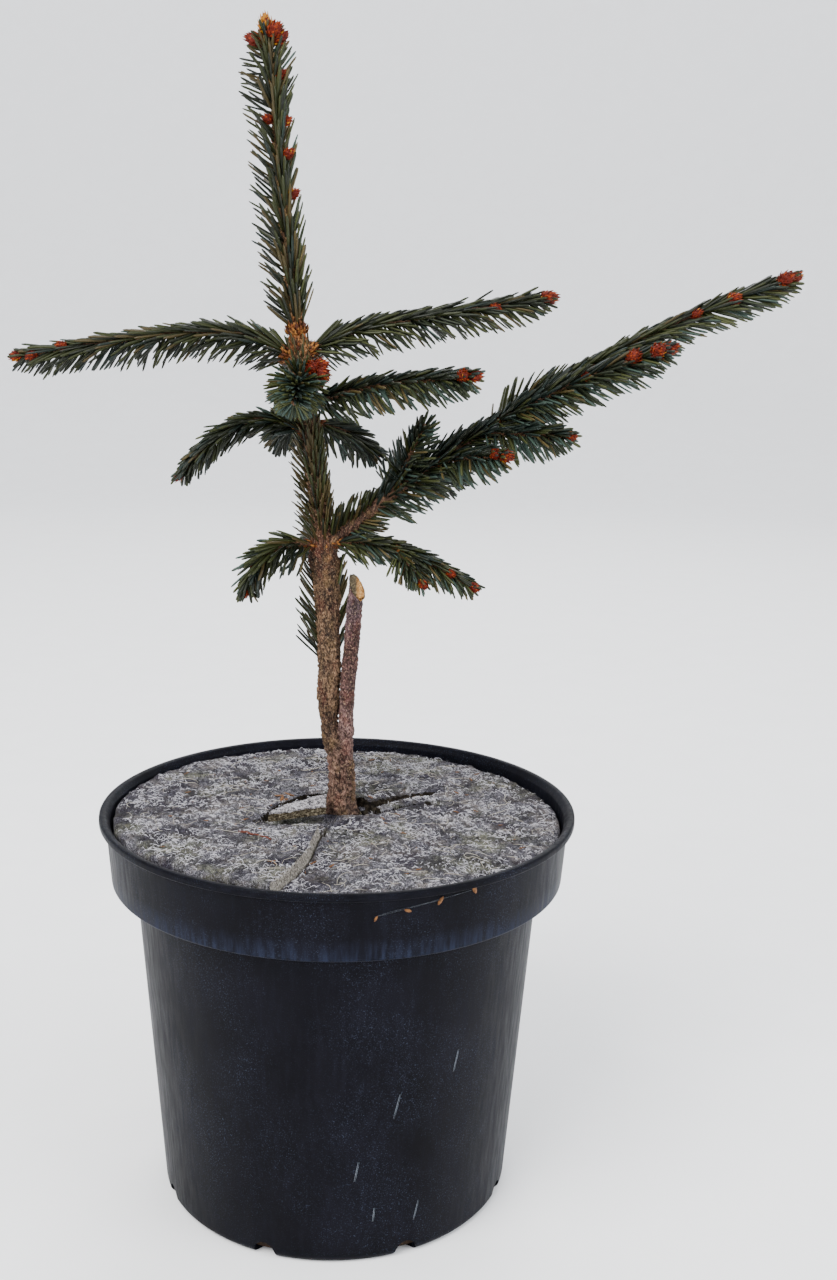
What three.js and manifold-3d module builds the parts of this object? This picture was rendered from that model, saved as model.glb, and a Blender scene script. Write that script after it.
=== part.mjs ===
// Potted conifer: a young grafted spruce with a lopsided crown, in a round nursery pot.
// Millimetres, +Z up. The origin is on the pot's axis, on its flat underside.
import * as THREE from 'three';
import { mergeVertices } from 'three/addons/utils/BufferGeometryUtils.js';
import Module from 'manifold-3d';

const wasm = await Module();
wasm.setup();

// Clearance between neighbouring solids, and how closely the meshes and curves are worked out
const clear = 0.3;
const weldWithin = 1e-4;
const simplifyBy = 0.03;
const curveDivisions = 400;
const halvings = 40;

// Round nursery pot of about five litres, with a stepped collar and a rolled lip
const pot = {
  segments: 48,
  height: 189.3,
  wall: 2,
  floor: 3,
  baseRadius: 84.3,
  baseChamfer: 2.4,
  bodyTopRadius: 96.1,
  collarFootHeight: 157.3,
  collarFootRadius: 107.2,
  collarTopRadius: 109.4,
  lipRadius: 112.5,
  lipDepth: 3.9,
  lipWidth: 3,
  lipRound: 1,
  drainHoles: 8,
  drainRadius: 5.5,
  drainSides: 8,
  drainDepth: 14,
  drainInset: 1,
  firstDrainAzimuth: 22.5,
};

// Potting soil and the felted fibre disc that covers it
const soilTop = 178;
const disc = {
  radius: 106.2,
  holeRadius: 9.6,
  meanTop: 185,
  dome: 1.4,
  tilt: 2.3,
  lowSideAzimuth: 15,
  slitAzimuth: -102.9,
  slitHalfWidth: 0.4,
  liftHeight: 4.2,
  liftSpread: 26,
  liftAtRing: [0, 0.15, 1, 0.8, 0.5],
  segments: 48,
};
const crevice = { azimuth: 34, start: 11, length: 46, width: 3.2, depth: 4, cutHeight: 20 };
const flap = { corners: [[-33.5, -17], [-5.5, -12], [-5.5, 6.5], [-26, -3.5]], thickness: 4.2, foot: 187.6 };

// Trunk, in the upright plane y = trunkPlane: how far it leans at each height
const trunkPlane = 12;
const trunkBend = [
  [166, 1.9], [192, 1.2], [212, 0.2], [221, -3.6], [232, -5], [256, -5.1], [276, -5.7], [290, -6.5],
  [306, -7.8], [340, -12], [400, -19.6], [463, -26.8], [531, -33.2], [538, -34.2],
];
const trunkTop = 537;
const trunkTaper = { lowHeight: 240, lowRadius: 5.4, topRadius: 1.5 };
const rootFlare = { swell: 2.6, fade: 7 };
const rootstock = { top: 217, blend: 6, swell: 0.35 };
// Swellings where boughs leave, and the thin neck above the graft
const trunkKnots = [
  { height: 227, swell: -1.1, below: 7, above: 9 },
  { height: 309, swell: 2.4, below: 24, above: 8 },
  { height: 372, swell: 1, below: 8, above: 6 },
  { height: 402, swell: 1.6, below: 10, above: 5 },
];

// Sawn-off shoot of the rootstock, beside the trunk above the graft
const stub = {
  plane: 9.5,
  radius: 3.75,
  bend: [[206, 2.6], [232, 3.2], [246, 3.8], [266, 5.4], [290, 7.2], [306, 7.9]],
  sawMiddle: [7.1, 9.5, 293.7],
  sawFacing: [0.97, -1.16, 1],
  sides: 8,
  step: 14,
};

// Needles: slim three-sided spikes set by the golden angle, close to the twig above and hanging below it
const needle = {
  length: 15.5,
  radius: 1.2,
  sides: 3,
  pitch: 2.6,
  rootDepth: 0.8,
  tilt: [19, 50],
  crowdingBelow: 0.45,
  barestTop: 0.12,
  tiltScatter: 7,
  turnScatter: 20,
  lengthScatter: 0.16,
  tipShortening: 0.25,
  tipZone: 24,
};
const goldenAngle = 137.508;
const twig = { rootRadius: 3.1, tipRadius: 2.2, bareFoot: 3, sides: 5, step: 18 };
const sleeveWall = 1;
const limb = { sides: 10, step: 12 };
const bud = {
  wide: 6,
  high: 4,
  plumpness: 0.42,
  leanOut: 38,
  rootDepth: 1,
  setIn: 0.6,
  middle: 0.42,
  claimed: 0.9,
};

// The right-hand bough: a bare limb, then its needle-clad part
const bough = {
  height: 310.4,
  azimuth: -14,
  length: 100,
  rise: [42, 34],
  bareLength: 33,
  radius: [3.5, 2.9],
};

const radians = THREE.MathUtils.degToRad;
const smooth = THREE.MathUtils.smoothstep;
const mix = THREE.MathUtils.lerp;

// A closed geometry becomes a solid for joining and cutting
function toSolid(geometry) {
  geometry.deleteAttribute('normal');
  geometry.deleteAttribute('uv');
  const merged = mergeVertices(geometry, weldWithin);
  const corners = merged.index.array;
  const triangles = [];
  for (let i = 0; i < corners.length; i += 3) {
    const [a, b, c] = corners.slice(i, i + 3);
    if (a !== b && b !== c && c !== a) triangles.push(a, b, c);
  }
  return new wasm.Manifold(new wasm.Mesh({
    numProp: 3,
    vertProperties: new Float32Array(merged.attributes.position.array),
    triVerts: new Uint32Array(triangles),
  }));
}

// The solid's largest piece goes back to a geometry; scraps that a cut left loose are dropped
function toGeometry(solid) {
  const pieces = solid.decompose().sort((a, b) => b.volume() - a.volume());
  const mesh = pieces[0].simplify(simplifyBy).getMesh();
  const geometry = new THREE.BufferGeometry();
  geometry.setAttribute('position', new THREE.BufferAttribute(mesh.vertProperties, 3));
  geometry.setIndex(new THREE.BufferAttribute(mesh.triVerts, 1));
  geometry.computeVertexNormals();
  return geometry;
}

const tree = new THREE.Group();

function addPart(name, solid, material) {
  const mesh = new THREE.Mesh(toGeometry(solid), material);
  mesh.name = name;
  tree.add(mesh);
}

function finish(color, roughness) {
  return new THREE.MeshStandardMaterial({ color, roughness, metalness: 0, flatShading: true });
}

const finishes = {
  plastic: finish(0x14171d, 0.5),
  soil: finish(0x2b211a, 1),
  felt: finish(0x8d8b8c, 1),
  bark: finish(0x7c6450, 0.9),
  stubBark: finish(0x6f4e45, 0.85),
  needles: finish(0x223a2b, 0.6),
};

// A solid turned about the pot's axis from a profile of radius and height
function turned(profile) {
  const points = profile.map(([radius, height]) => new THREE.Vector2(radius, height));
  return toSolid(new THREE.LatheGeometry(points, pot.segments).rotateX(Math.PI / 2));
}

function potSolid() {
  const lipFoot = pot.height - pot.lipDepth;
  const ledge = pot.collarFootHeight + pot.wall;
  const shell = turned([
    [0, 0],
    [pot.baseRadius - pot.baseChamfer, 0],
    [pot.baseRadius, pot.baseChamfer],
    [pot.bodyTopRadius, pot.collarFootHeight],
    [pot.collarFootRadius, pot.collarFootHeight],
    [pot.collarTopRadius, lipFoot],
    [pot.lipRadius, lipFoot + pot.lipRound],
    [pot.lipRadius, pot.height - pot.lipRound],
    [pot.lipRadius - pot.lipRound, pot.height],
    [pot.lipRadius - pot.lipWidth, pot.height],
    [pot.collarTopRadius - pot.wall, lipFoot + pot.lipRound],
    [pot.collarFootRadius - pot.wall, ledge],
    [pot.bodyTopRadius - pot.wall, ledge],
    [pot.baseRadius - pot.wall, pot.floor],
    [0, pot.floor],
  ]);
  let drilled = shell;
  for (let i = 0; i < pot.drainHoles; i += 1) {
    const azimuth = radians(pot.firstDrainAzimuth + (360 / pot.drainHoles) * i);
    const bore = new THREE.CylinderGeometry(pot.drainRadius, pot.drainRadius, pot.drainDepth, pot.drainSides);
    bore.rotateZ(-Math.PI / 4).rotateX(Math.PI / 2);
    bore.translate(pot.baseRadius - pot.drainInset, 0, pot.drainInset).rotateZ(azimuth);
    drilled = drilled.subtract(toSolid(bore));
  }
  return drilled;
}

function soilSolid() {
  const inside = pot.wall + clear;
  const ledge = pot.collarFootHeight + inside;
  return turned([
    [0, pot.floor + clear],
    [pot.baseRadius - inside, pot.floor + clear],
    [pot.bodyTopRadius - inside, ledge],
    [pot.collarFootRadius - inside, ledge],
    [pot.collarFootRadius - inside, soilTop],
    [0, soilTop],
  ]);
}

const trunkFoot = new THREE.Vector2(trunkBend[1][1], trunkPlane);

// Height of the disc's upper face, without its lifted sector
function discTop(x, y) {
  const low = radians(disc.lowSideAzimuth);
  const across = (x * Math.cos(low) + y * Math.sin(low)) / disc.radius;
  const out = Math.hypot(x, y) / disc.radius;
  return disc.meanTop + disc.dome * (1 - out * out) - disc.tilt * across;
}

// A ring of felt from one side of the slit round to the other, with the sector left of the slit lifted
function discSolid() {
  const rings = disc.liftAtRing.length - 1;
  const ring = new THREE.BoxGeometry(1, 1, 1, disc.segments, rings, 1);
  const vertex = ring.attributes.position;
  const slit = radians(disc.slitAzimuth);
  const besideSlit = new THREE.Vector2(-Math.sin(slit), Math.cos(slit));
  for (let i = 0; i < vertex.count; i += 1) {
    const round = vertex.getX(i) + 0.5;
    const outward = 0.5 - vertex.getY(i);
    const azimuth = slit + round * 2 * Math.PI;
    const heading = new THREE.Vector2(Math.cos(azimuth), Math.sin(azimuth));
    const along = trunkFoot.dot(heading);
    const reach = Math.sqrt(along * along + disc.radius ** 2 - trunkFoot.lengthSq()) - along;
    const place = trunkFoot.clone().addScaledVector(heading, mix(disc.holeRadius, reach, outward));
    if (round < weldWithin) place.addScaledVector(besideSlit, disc.slitHalfWidth);
    if (round > 1 - weldWithin) place.addScaledVector(besideSlit, -disc.slitHalfWidth);
    const fromSlit = (1 - round) * 360;
    const inSector = Math.exp(-((fromSlit / disc.liftSpread) ** 2));
    const fade = disc.liftAtRing[Math.round(outward * rings)] * inSector;
    const top = discTop(place.x, place.y) + disc.liftHeight * fade;
    vertex.setXYZ(i, place.x, place.y, vertex.getZ(i) > 0 ? top : soilTop + clear);
  }
  const gap = new THREE.BoxGeometry(crevice.length, crevice.width, crevice.cutHeight);
  gap.translate(crevice.start + crevice.length / 2, 0, disc.meanTop - crevice.depth + crevice.cutHeight / 2);
  gap.rotateZ(radians(crevice.azimuth)).translate(trunkFoot.x, trunkFoot.y, 0);
  return toSolid(ring).subtract(toSolid(gap));
}

// The loose corner of felt that lies on the disc beside the trunk
function flapSolid() {
  const outline = new THREE.Shape(flap.corners.map(([x, y]) => new THREE.Vector2(x, y)));
  const slab = new THREE.ExtrudeGeometry(outline, { depth: flap.thickness, bevelEnabled: false });
  return toSolid(slab.translate(0, 0, flap.foot));
}

// A stem is a curve in one upright plane, with its plan direction and its radius along it in millimetres
function stemOf(points, azimuth, radiusAt) {
  const curve = new THREE.CatmullRomCurve3(points, false, 'centripetal');
  curve.arcLengthDivisions = curveDivisions;
  return { curve, azimuth, radiusAt, length: curve.getLength() };
}

function frameAt(stem, distance) {
  const share = THREE.MathUtils.clamp(distance / stem.length, 0, 1);
  const point = stem.curve.getPointAt(share);
  const tangent = stem.curve.getTangentAt(share);
  const azimuth = radians(stem.azimuth);
  const side = new THREE.Vector3(-Math.sin(azimuth), Math.cos(azimuth), 0);
  const under = side.clone().cross(tangent);
  return { point, tangent, side, under };
}

const ringsFor = (span, step) => Math.max(1, Math.round(span / step));

// A closed tube along part of a stem, grown by extra all round
function tube(stem, options) {
  const { from = 0, to = stem.length, extra = 0, sides, step, rings = ringsFor(to - from, step) } = options;
  const skin = new THREE.CylinderGeometry(1, 1, 1, sides, rings);
  const vertex = skin.attributes.position;
  for (let i = 0; i < vertex.count; i += 1) {
    const along = from + (to - from) * (vertex.getY(i) + 0.5);
    const { point, side, under } = frameAt(stem, along);
    const radius = stem.radiusAt(along) + extra;
    point.addScaledVector(side, vertex.getX(i) * radius);
    point.addScaledVector(under, vertex.getZ(i) * radius);
    vertex.setXYZ(i, point.x, point.y, point.z);
  }
  return toSolid(skin);
}

// The trunk's radius at a height: an even taper, swollen at the foot, in the rootstock and at the knots
function trunkRadius(height) {
  const share = (height - trunkTaper.lowHeight) / (trunkTop - trunkTaper.lowHeight);
  let radius = mix(trunkTaper.lowRadius, trunkTaper.topRadius, share);
  radius += rootFlare.swell * Math.exp(-Math.max(0, height - soilTop) / rootFlare.fade);
  const { top, blend, swell } = rootstock;
  radius += swell * (1 - smooth(height, top - blend, top + blend));
  for (const knot of trunkKnots) {
    const reach = height < knot.height ? knot.below : knot.above;
    radius += knot.swell * Math.exp(-(((height - knot.height) / reach) ** 2));
  }
  return radius;
}

const trunkPoints = trunkBend.map(([height, x]) => new THREE.Vector3(x, trunkPlane, height));
const trunk = stemOf(trunkPoints, 180, null);
trunk.radiusAt = (distance) => trunkRadius(frameAt(trunk, distance).point.z);

// Distance along the trunk at which it passes a height
function trunkDistance(height) {
  let low = 0;
  let high = trunk.length;
  for (let i = 0; i < halvings; i += 1) {
    const middle = (low + high) / 2;
    if (frameAt(trunk, middle).point.z < height) low = middle;
    else high = middle;
  }
  return low;
}

const trunkSolid = tube(trunk, limb);
const trunkRoom = tube(trunk, { ...limb, extra: clear });

// The flat cut at the soil, and the one at the top under the end buds
const saw = { across: 100, depth: 40 };
const slice = () => new THREE.BoxGeometry(saw.across, saw.across, saw.depth);
const belowFoot = toSolid(slice().translate(0, trunkPlane, soilTop + clear - saw.depth / 2));
const aboveTop = toSolid(slice().translate(0, trunkPlane, trunkTop + saw.depth / 2));

const stubPoints = stub.bend.map(([height, x]) => new THREE.Vector3(x, stub.plane, height));
const stubStem = stemOf(stubPoints, 0, () => stub.radius);

function stubSolid() {
  const facing = new THREE.Vector3(...stub.sawFacing).normalize();
  const turn = new THREE.Quaternion().setFromUnitVectors(new THREE.Vector3(0, 0, 1), facing);
  const cut = slice().translate(0, 0, saw.depth / 2).applyQuaternion(turn).translate(...stub.sawMiddle);
  return tube(stubStem, { sides: stub.sides, step: stub.step }).subtract(toSolid(cut)).subtract(trunkRoom);
}

// A shoot leaves its root in one plan direction, and its rise turns from the first angle to the last
function shootStem(root, shoot, radiusAt) {
  const steps = 24;
  const azimuth = radians(shoot.azimuth);
  const heading = new THREE.Vector3(Math.cos(azimuth), Math.sin(azimuth), 0);
  const points = [root.clone()];
  for (let i = 0; i < steps; i += 1) {
    const share = (i + 0.5) / steps;
    const rise = radians(mix(shoot.rise[1], shoot.rise[0], (1 - share) ** (shoot.curl ?? 1)));
    const next = points[i].clone().addScaledVector(heading, (Math.cos(rise) * shoot.length) / steps);
    next.z += (Math.sin(rise) * shoot.length) / steps;
    points.push(next);
  }
  return stemOf(points, shoot.azimuth, radiusAt);
}

function onTrunk(height) {
  return frameAt(trunk, trunkDistance(height)).point;
}

const boughRadius = (distance) => mix(bough.radius[0], bough.radius[1], distance / bough.bareLength);
const boughStem = shootStem(onTrunk(bough.height), bough, boughRadius);
const boughSpan = { to: bough.bareLength, ...limb };
const boughSolid = tube(boughStem, boughSpan).subtract(trunkRoom);
const onBough = (distance) => frameAt(boughStem, distance).point;

// Every shoot of each spray. A shoot on the trunk has its height there, one on the bough its distance along
// it, and a sleeve the stretch of trunk or bough that it clothes. A bud has its distance from the shoot's
// tip, its turn round the shoot and its length; one with a distance below zero sits on the tip itself.
const sprays = {
  leader_spray: [{
    sleeve: [412, trunkTop],
    overTop: 2.7,
    pitch: 1.9,
    tilts: [27, 48],
    buds: [
      [-5, 0, 9], [3, 65, 7.5], [4, 285, 7.5], [2, 352, 7], [4, 170, 6], [19, 300, 6],
      [37, 50, 5.5], [38, 285, 5.5], [52, 300, 6], [69, 280, 6], [46, 170, 5.5], [80, 200, 5.5],
    ],
  }],
  upper_trunk_spray: [{ sleeve: [319, 354], pitch: 1.7, tilts: [30, 38] }],
  lower_trunk_spray: [{ sleeve: [256, 302], pitch: 2.2, tilts: [26, 32] }],
  bough_foot_spray: [{ boughSleeve: [14, 31], pitch: 1.2, tilts: [38, 44] }],
  top_left_spray: [{
    height: 394.4, azimuth: 168, length: 140, rise: [52, -9.5], curl: 4.8,
    buds: [[-4, 0, 7], [9, 20, 6], [24, 330, 5.5]],
  }],
  top_right_spray: [{
    height: 398.2, azimuth: 18, length: 126, rise: [41, 8.4], curl: 5.5,
    buds: [[-4, 0, 9], [2, 200, 7], [29, 170, 5.5]],
  }],
  mid_right_spray: [{
    height: 376, azimuth: -35, length: 89, rise: [26, 5], curl: 2.2, buds: [[-4, 0, 7], [4, 190, 7]],
  }],
  mid_left_spray: [{
    height: 362.7, azimuth: 200, length: 72, rise: [46, -51.5], curl: 1.6, buds: [[-2, 0, 4.5]],
  }],
  mid_short_spray: [{
    height: 368, azimuth: 40, length: 46, rise: [12, -31], curl: 2.5, buds: [[-2, 0, 4.5]],
  }],
  low_left_spray: [{
    height: 310, azimuth: 212, length: 52, rise: [31, -86], curl: 0.8, buds: [[-2, 0, 4.5], [22, 300, 5]],
  }],
  low_right_spray: [
    {
      height: 312, azimuth: -28, length: 79, rise: [21, -25], curl: 1.8,
      buds: [[-3, 0, 5.5], [12, 200, 5]],
    },
    { fork: 38, azimuth: -60, length: 26, rise: [-20, -34], buds: [[-3, 0, 5.5]] },
  ],
  bough_spray: [
    { alongBough: [bough.bareLength + clear, bough.length - 1] },
    { bough: 46, azimuth: -52, length: 36, rise: [68, 52] },
    { bough: 40, azimuth: 74, length: 26, rise: [44, 30] },
    { bough: 68, azimuth: -46, length: 40, rise: [14, 3], buds: [[-4, 0, 7], [4, 200, 6]] },
    { bough: 50, azimuth: 40, length: 36, rise: [12, 0], buds: [[-3, 0, 5]] },
  ],
  bough_tip_spray: [{
    bough: 100, azimuth: -6, length: 143, rise: [35, 19.6],
    buds: [[-4, 0, 7], [5, 190, 8.5], [28, 185, 7], [45, 190, 6]],
  }],
  bough_front_spray: [{
    bough: 99, azimuth: -25, length: 85, rise: [31, 18],
    buds: [[-4, 0, 7], [5, 185, 8.5], [16, 200, 8], [38, 190, 5]],
  }],
  bough_side_spray: [{ bough: 93, azimuth: -36, length: 44, rise: [2, 0], buds: [[-3, 0, 5.5]] }],
  bough_back_spray: [{
    bough: 97, azimuth: 50, length: 48, rise: [20, 10], buds: [[-4, 0, 6.5], [6, 20, 6]],
  }],
  top_front_spray: [{ height: 388, azimuth: -95, length: 36, rise: [12, -40], buds: [[-3, 0, 5]] }],
  bud_spur: [{
    height: 397, azimuth: -50, length: 13, rise: [-6, -22], bare: true,
    buds: [[-3, 0, 8], [3, 90, 7], [4, 200, 6]],
  }],
  top_back_spray: [{
    height: 391, azimuth: 92, length: 72, rise: [30, -6], curl: 2, buds: [[-4, 0, 7], [8, 30, 6]],
  }],
  mid_back_spray: [{
    height: 369, azimuth: 112, length: 48, rise: [14, -28], curl: 2, buds: [[-3, 0, 5]],
  }],
  low_back_spray: [{
    height: 311, azimuth: 96, length: 62, rise: [18, -24], curl: 1.6, buds: [[-3, 0, 5.5]],
  }],
};

const twigRadius = (length) => (distance) => mix(twig.rootRadius, twig.tipRadius, distance / length);

// Turns one entry of the list above into a stem, with the stretch of it that carries needles
function growShoot(shoot, parent) {
  if (shoot.sleeve) {
    const [low, high] = shoot.sleeve.map(trunkDistance);
    const radiusAt = (distance) => trunk.radiusAt(Math.min(distance, high)) + clear + sleeveWall;
    const to = high + (shoot.overTop ?? 0);
    return { ...trunk, radiusAt, from: low, to, bareRoot: 0, sleeve: true, host: 'trunk' };
  }
  if (shoot.boughSleeve) {
    const [from, to] = shoot.boughSleeve;
    const radiusAt = (distance) => boughRadius(distance) + clear + sleeveWall;
    return { ...boughStem, radiusAt, from, to, bareRoot: 0, sleeve: true, host: 'bough' };
  }
  if (shoot.alongBough) {
    const [from, to] = shoot.alongBough;
    const radiusAt = (distance) => mix(bough.radius[1], twig.rootRadius, (distance - from) / (to - from));
    return { ...boughStem, radiusAt, from, to, bareRoot: twig.bareFoot };
  }
  let root = null;
  if (shoot.height) root = onTrunk(shoot.height);
  else if (shoot.bough) root = onBough(shoot.bough);
  else root = frameAt(parent, shoot.fork).point;
  const stem = shootStem(root, shoot, twigRadius(shoot.length));
  const bareRoot = shoot.height ? trunkRadius(shoot.height) + twig.bareFoot : twig.bareFoot;
  return { ...stem, from: clear, to: stem.length, bareRoot };
}

// Space that is taken already: short straight lines with a radius and an owner
const taken = [];
const claimStep = 4;

function take(owner, start, end, radius) {
  taken.push({ owner, line: new THREE.Line3(start, end), radius });
}

function takeStem(owner, stem, from, to) {
  const steps = Math.ceil((to - from) / claimStep);
  for (let i = 0; i < steps; i += 1) {
    const low = mix(from, to, i / steps);
    const high = mix(from, to, (i + 1) / steps);
    take(owner, frameAt(stem, low).point, frameAt(stem, high).point, stem.radiusAt(low));
  }
}

function isFree(owners, start, end, radius) {
  const line = new THREE.Line3(start, end);
  return taken.every((other) => {
    if (owners.includes(other.owner)) return true;
    const room = radius + other.radius + clear;
    return line.distanceSqToLine3(other.line) > room * room;
  });
}

// The same draws on every run
function seededDraws(seed) {
  let state = seed;
  return () => {
    state = (Math.imul(state, 1664525) + 1013904223) >>> 0;
    return state / 4294967296;
  };
}

// Puts a geometry that stands along +Y at a point, along a direction
function placed(geometry, point, direction) {
  const turn = new THREE.Quaternion().setFromUnitVectors(new THREE.Vector3(0, 1, 0), direction);
  geometry.applyQuaternion(turn).translate(point.x, point.y, point.z);
  return toSolid(geometry);
}

// The direction that leans out from a stem's own by an angle
function leaning(tangent, outward, angle) {
  return tangent.clone().multiplyScalar(Math.cos(angle)).addScaledVector(outward, Math.sin(angle));
}

function outwardAt(frame, turn) {
  return frame.side.clone().multiplyScalar(Math.cos(turn)).addScaledVector(frame.under, Math.sin(turn));
}

// A pointed egg; one at the tip looks along the shoot, the others lean out from it
function growBud(owner, stem, [fromTip, turn, length]) {
  const along = stem.to - Math.max(fromTip, 0);
  const frame = frameAt(stem, along);
  const outward = outwardAt(frame, radians(turn));
  const lean = fromTip < 0 ? 0 : radians(bud.leanOut);
  const direction = leaning(frame.tangent, outward, lean);
  const foot = frame.point.clone();
  if (fromTip < 0) foot.addScaledVector(direction, -bud.rootDepth);
  else foot.addScaledVector(outward, stem.radiusAt(along) * bud.setIn);
  if (along > stem.length) foot.addScaledVector(frame.tangent, along - stem.length);
  const girth = length * bud.plumpness;
  const egg = new THREE.SphereGeometry(1, bud.wide, bud.high).scale(girth, length / 2, girth);
  const middle = foot.clone().addScaledVector(direction, length * bud.middle);
  take(owner, foot, foot.clone().addScaledVector(direction, length * bud.claimed), girth);
  return placed(egg, middle, direction);
}

// Needles in golden-angle order along a stem; one that would touch another spray or a limb is skipped
function growNeedles(owner, stem, { pitch = needle.pitch, tilts = needle.tilt }, draw) {
  const spikes = [];
  const span = stem.to - stem.from - stem.bareRoot;
  const count = Math.floor(span / pitch);
  for (let i = 0; i < count; i += 1) {
    const along = stem.from + stem.bareRoot + i * pitch;
    const frame = frameAt(stem, along);
    const turn = radians(i * goldenAngle + draw() * needle.turnScatter);
    const outward = outwardAt(frame, stem.sleeve ? turn : turn + needle.crowdingBelow * Math.cos(turn));
    const hanging = (outward.dot(frame.under) + 1) / 2;
    if (hanging < needle.barestTop && !stem.sleeve) continue;
    const tilt = radians(mix(...tilts, hanging) + (draw() - 0.5) * 2 * needle.tiltScatter);
    const direction = leaning(frame.tangent, outward, tilt);
    const nearTip = smooth(along, stem.to - needle.tipZone, stem.to);
    const chance = 1 + (draw() - 0.5) * needle.lengthScatter;
    const length = needle.length * (1 - needle.tipShortening * nearTip) * chance;
    const depth = stem.sleeve ? sleeveWall : stem.radiusAt(along) * needle.rootDepth;
    const foot = frame.point.addScaledVector(outward, stem.radiusAt(along) - depth);
    const tip = foot.clone().addScaledVector(direction, length);
    if (!isFree(stem.sleeve ? [owner, stem.host] : [owner], foot, tip, needle.radius)) continue;
    take(owner, foot, tip, needle.radius);
    const spike = new THREE.ConeGeometry(needle.radius, length, needle.sides);
    spikes.push(placed(spike, foot.addScaledVector(direction, length / 2), direction));
  }
  return spikes;
}

takeStem('trunk', trunk, 0, trunk.length);
takeStem('bough', boughStem, 0, bough.bareLength);
takeStem('stub', stubStem, 0, stubStem.length);

// First all stems and buds claim their room, then the needles fill what is left
const grown = Object.entries(sprays).map(([name, shoots], index) => {
  const pieces = [];
  const stems = [];
  const rooms = [];
  for (const shoot of shoots) {
    const stem = growShoot(shoot, stems[0]);
    stems.push(stem);
    const { from } = stem;
    const to = Math.min(stem.to, stem.length);
    const end = Math.min(to + clear, stem.length);
    const skin = { sides: stem.sleeve ? limb.sides : twig.sides, rings: ringsFor(to - from, twig.step) };
    pieces.push(tube(stem, { ...skin, from, to }));
    rooms.push(tube(stem, { ...skin, from: from - clear, to: end, extra: clear }));
    takeStem(name, stem, from, stem.to);
    for (const place of shoot.buds ?? []) pieces.push(growBud(name, stem, place));
  }
  return { name, shoots, stems, pieces, room: wasm.Manifold.union(rooms), draw: seededDraws(index + 1) };
});

addPart('pot', potSolid(), finishes.plastic);
addPart('potting_soil', soilSolid(), finishes.soil);
addPart('mulch_disc', discSolid(), finishes.felt);
addPart('mulch_flap', flapSolid(), finishes.felt);
addPart('trunk', trunkSolid.subtract(belowFoot).subtract(aboveTop), finishes.bark);
addPart('rootstock_stub', stubSolid(), finishes.stubBark);
addPart('right_bough', boughSolid, finishes.bark);

// Each spray is cut clear of the limbs, and of the stems of the sprays before it in the list
let limbRoom = trunkRoom.add(tube(boughStem, { ...boughSpan, extra: clear }));
for (const { name, shoots, stems, pieces, room, draw } of grown) {
  shoots.forEach((shoot, i) => {
    if (!shoot.bare) pieces.push(...growNeedles(name, stems[i], shoot, draw));
  });
  addPart(name, wasm.Manifold.union(pieces).subtract(limbRoom), finishes.needles);
  limbRoom = limbRoom.add(room);
}

export default tree;
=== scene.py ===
# %% [markdown]
# # A young grafted spruce in a nursery pot
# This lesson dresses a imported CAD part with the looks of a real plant. The CAD gives every place and size;
# here the coarse solids are replaced by a moulded pot, felt, bark, twigs, needles and buds.
# We work in millimetres, as a nurseryman would measure, and turn them into Blender's metres only when a
# mesh is made. That keeps the numbers readable.

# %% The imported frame
import math

import bpy
import numpy as np
from mathutils import Matrix, Vector, noise


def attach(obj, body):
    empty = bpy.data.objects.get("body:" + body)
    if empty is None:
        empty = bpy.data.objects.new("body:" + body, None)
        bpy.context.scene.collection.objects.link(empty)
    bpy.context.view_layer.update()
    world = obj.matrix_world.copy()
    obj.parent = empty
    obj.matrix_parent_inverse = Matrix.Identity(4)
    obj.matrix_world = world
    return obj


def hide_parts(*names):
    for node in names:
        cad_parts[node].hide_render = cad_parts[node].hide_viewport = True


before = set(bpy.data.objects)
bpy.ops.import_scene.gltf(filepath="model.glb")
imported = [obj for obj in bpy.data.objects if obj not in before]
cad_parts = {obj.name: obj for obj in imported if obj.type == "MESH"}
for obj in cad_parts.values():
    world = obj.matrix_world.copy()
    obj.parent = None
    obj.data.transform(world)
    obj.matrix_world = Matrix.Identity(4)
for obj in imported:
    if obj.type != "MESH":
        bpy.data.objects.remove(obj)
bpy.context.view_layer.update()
MM = 0.001

# %% [markdown]
# ## The camera
# The photograph looks down on the plant from above the pot's rim, about two thirds of a metre away. Blender
# could aim a camera with a constraint, but a fitted camera is better written out: its place, its three turns
# and its focal length in pixels, from which the lens in millimetres follows.

# %% The camera
picture_height = 1280
focal_pixels = 1482
sensor = 36
camera_place = (0, -0.6754, 0.4232)
yaw, pitch, roll = (math.radians(angle) for angle in (3.1, 12.75, 1.17))
look = Vector((math.sin(yaw) * math.cos(pitch), math.cos(yaw) * math.cos(pitch), -math.sin(pitch)))
level = Vector((math.cos(yaw), -math.sin(yaw), 0))
rise = level.cross(look)
right = level * math.cos(roll) + rise * math.sin(roll)
up = rise * math.cos(roll) - level * math.sin(roll)

lens = bpy.data.cameras.new("camera")
lens.sensor_width = sensor
lens.lens = sensor * focal_pixels / picture_height
camera = bpy.data.objects.new("camera", lens)
camera_turn = Matrix((right, up, -look)).transposed().to_4x4()
camera.matrix_world = Matrix.Translation(camera_place) @ camera_turn
bpy.context.collection.objects.link(camera)
bpy.context.scene.camera = camera
print("camera lens:", round(lens.lens, 2), "mm")

# %% [markdown]
# ## A workshop for finishes
# Every finish is a node tree. Image textures could be painted instead, but noise needs no unwrapping and
# stays sharp at any distance. A few small helpers are enough: one adds a node with its inputs, one makes
# grain from noise in the object's own millimetres, one turns grain into tones, and one puts these together
# for the many finishes that are a single grain. Colours are written the way a paint chart writes them and
# turned into the linear values that light needs.

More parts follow.
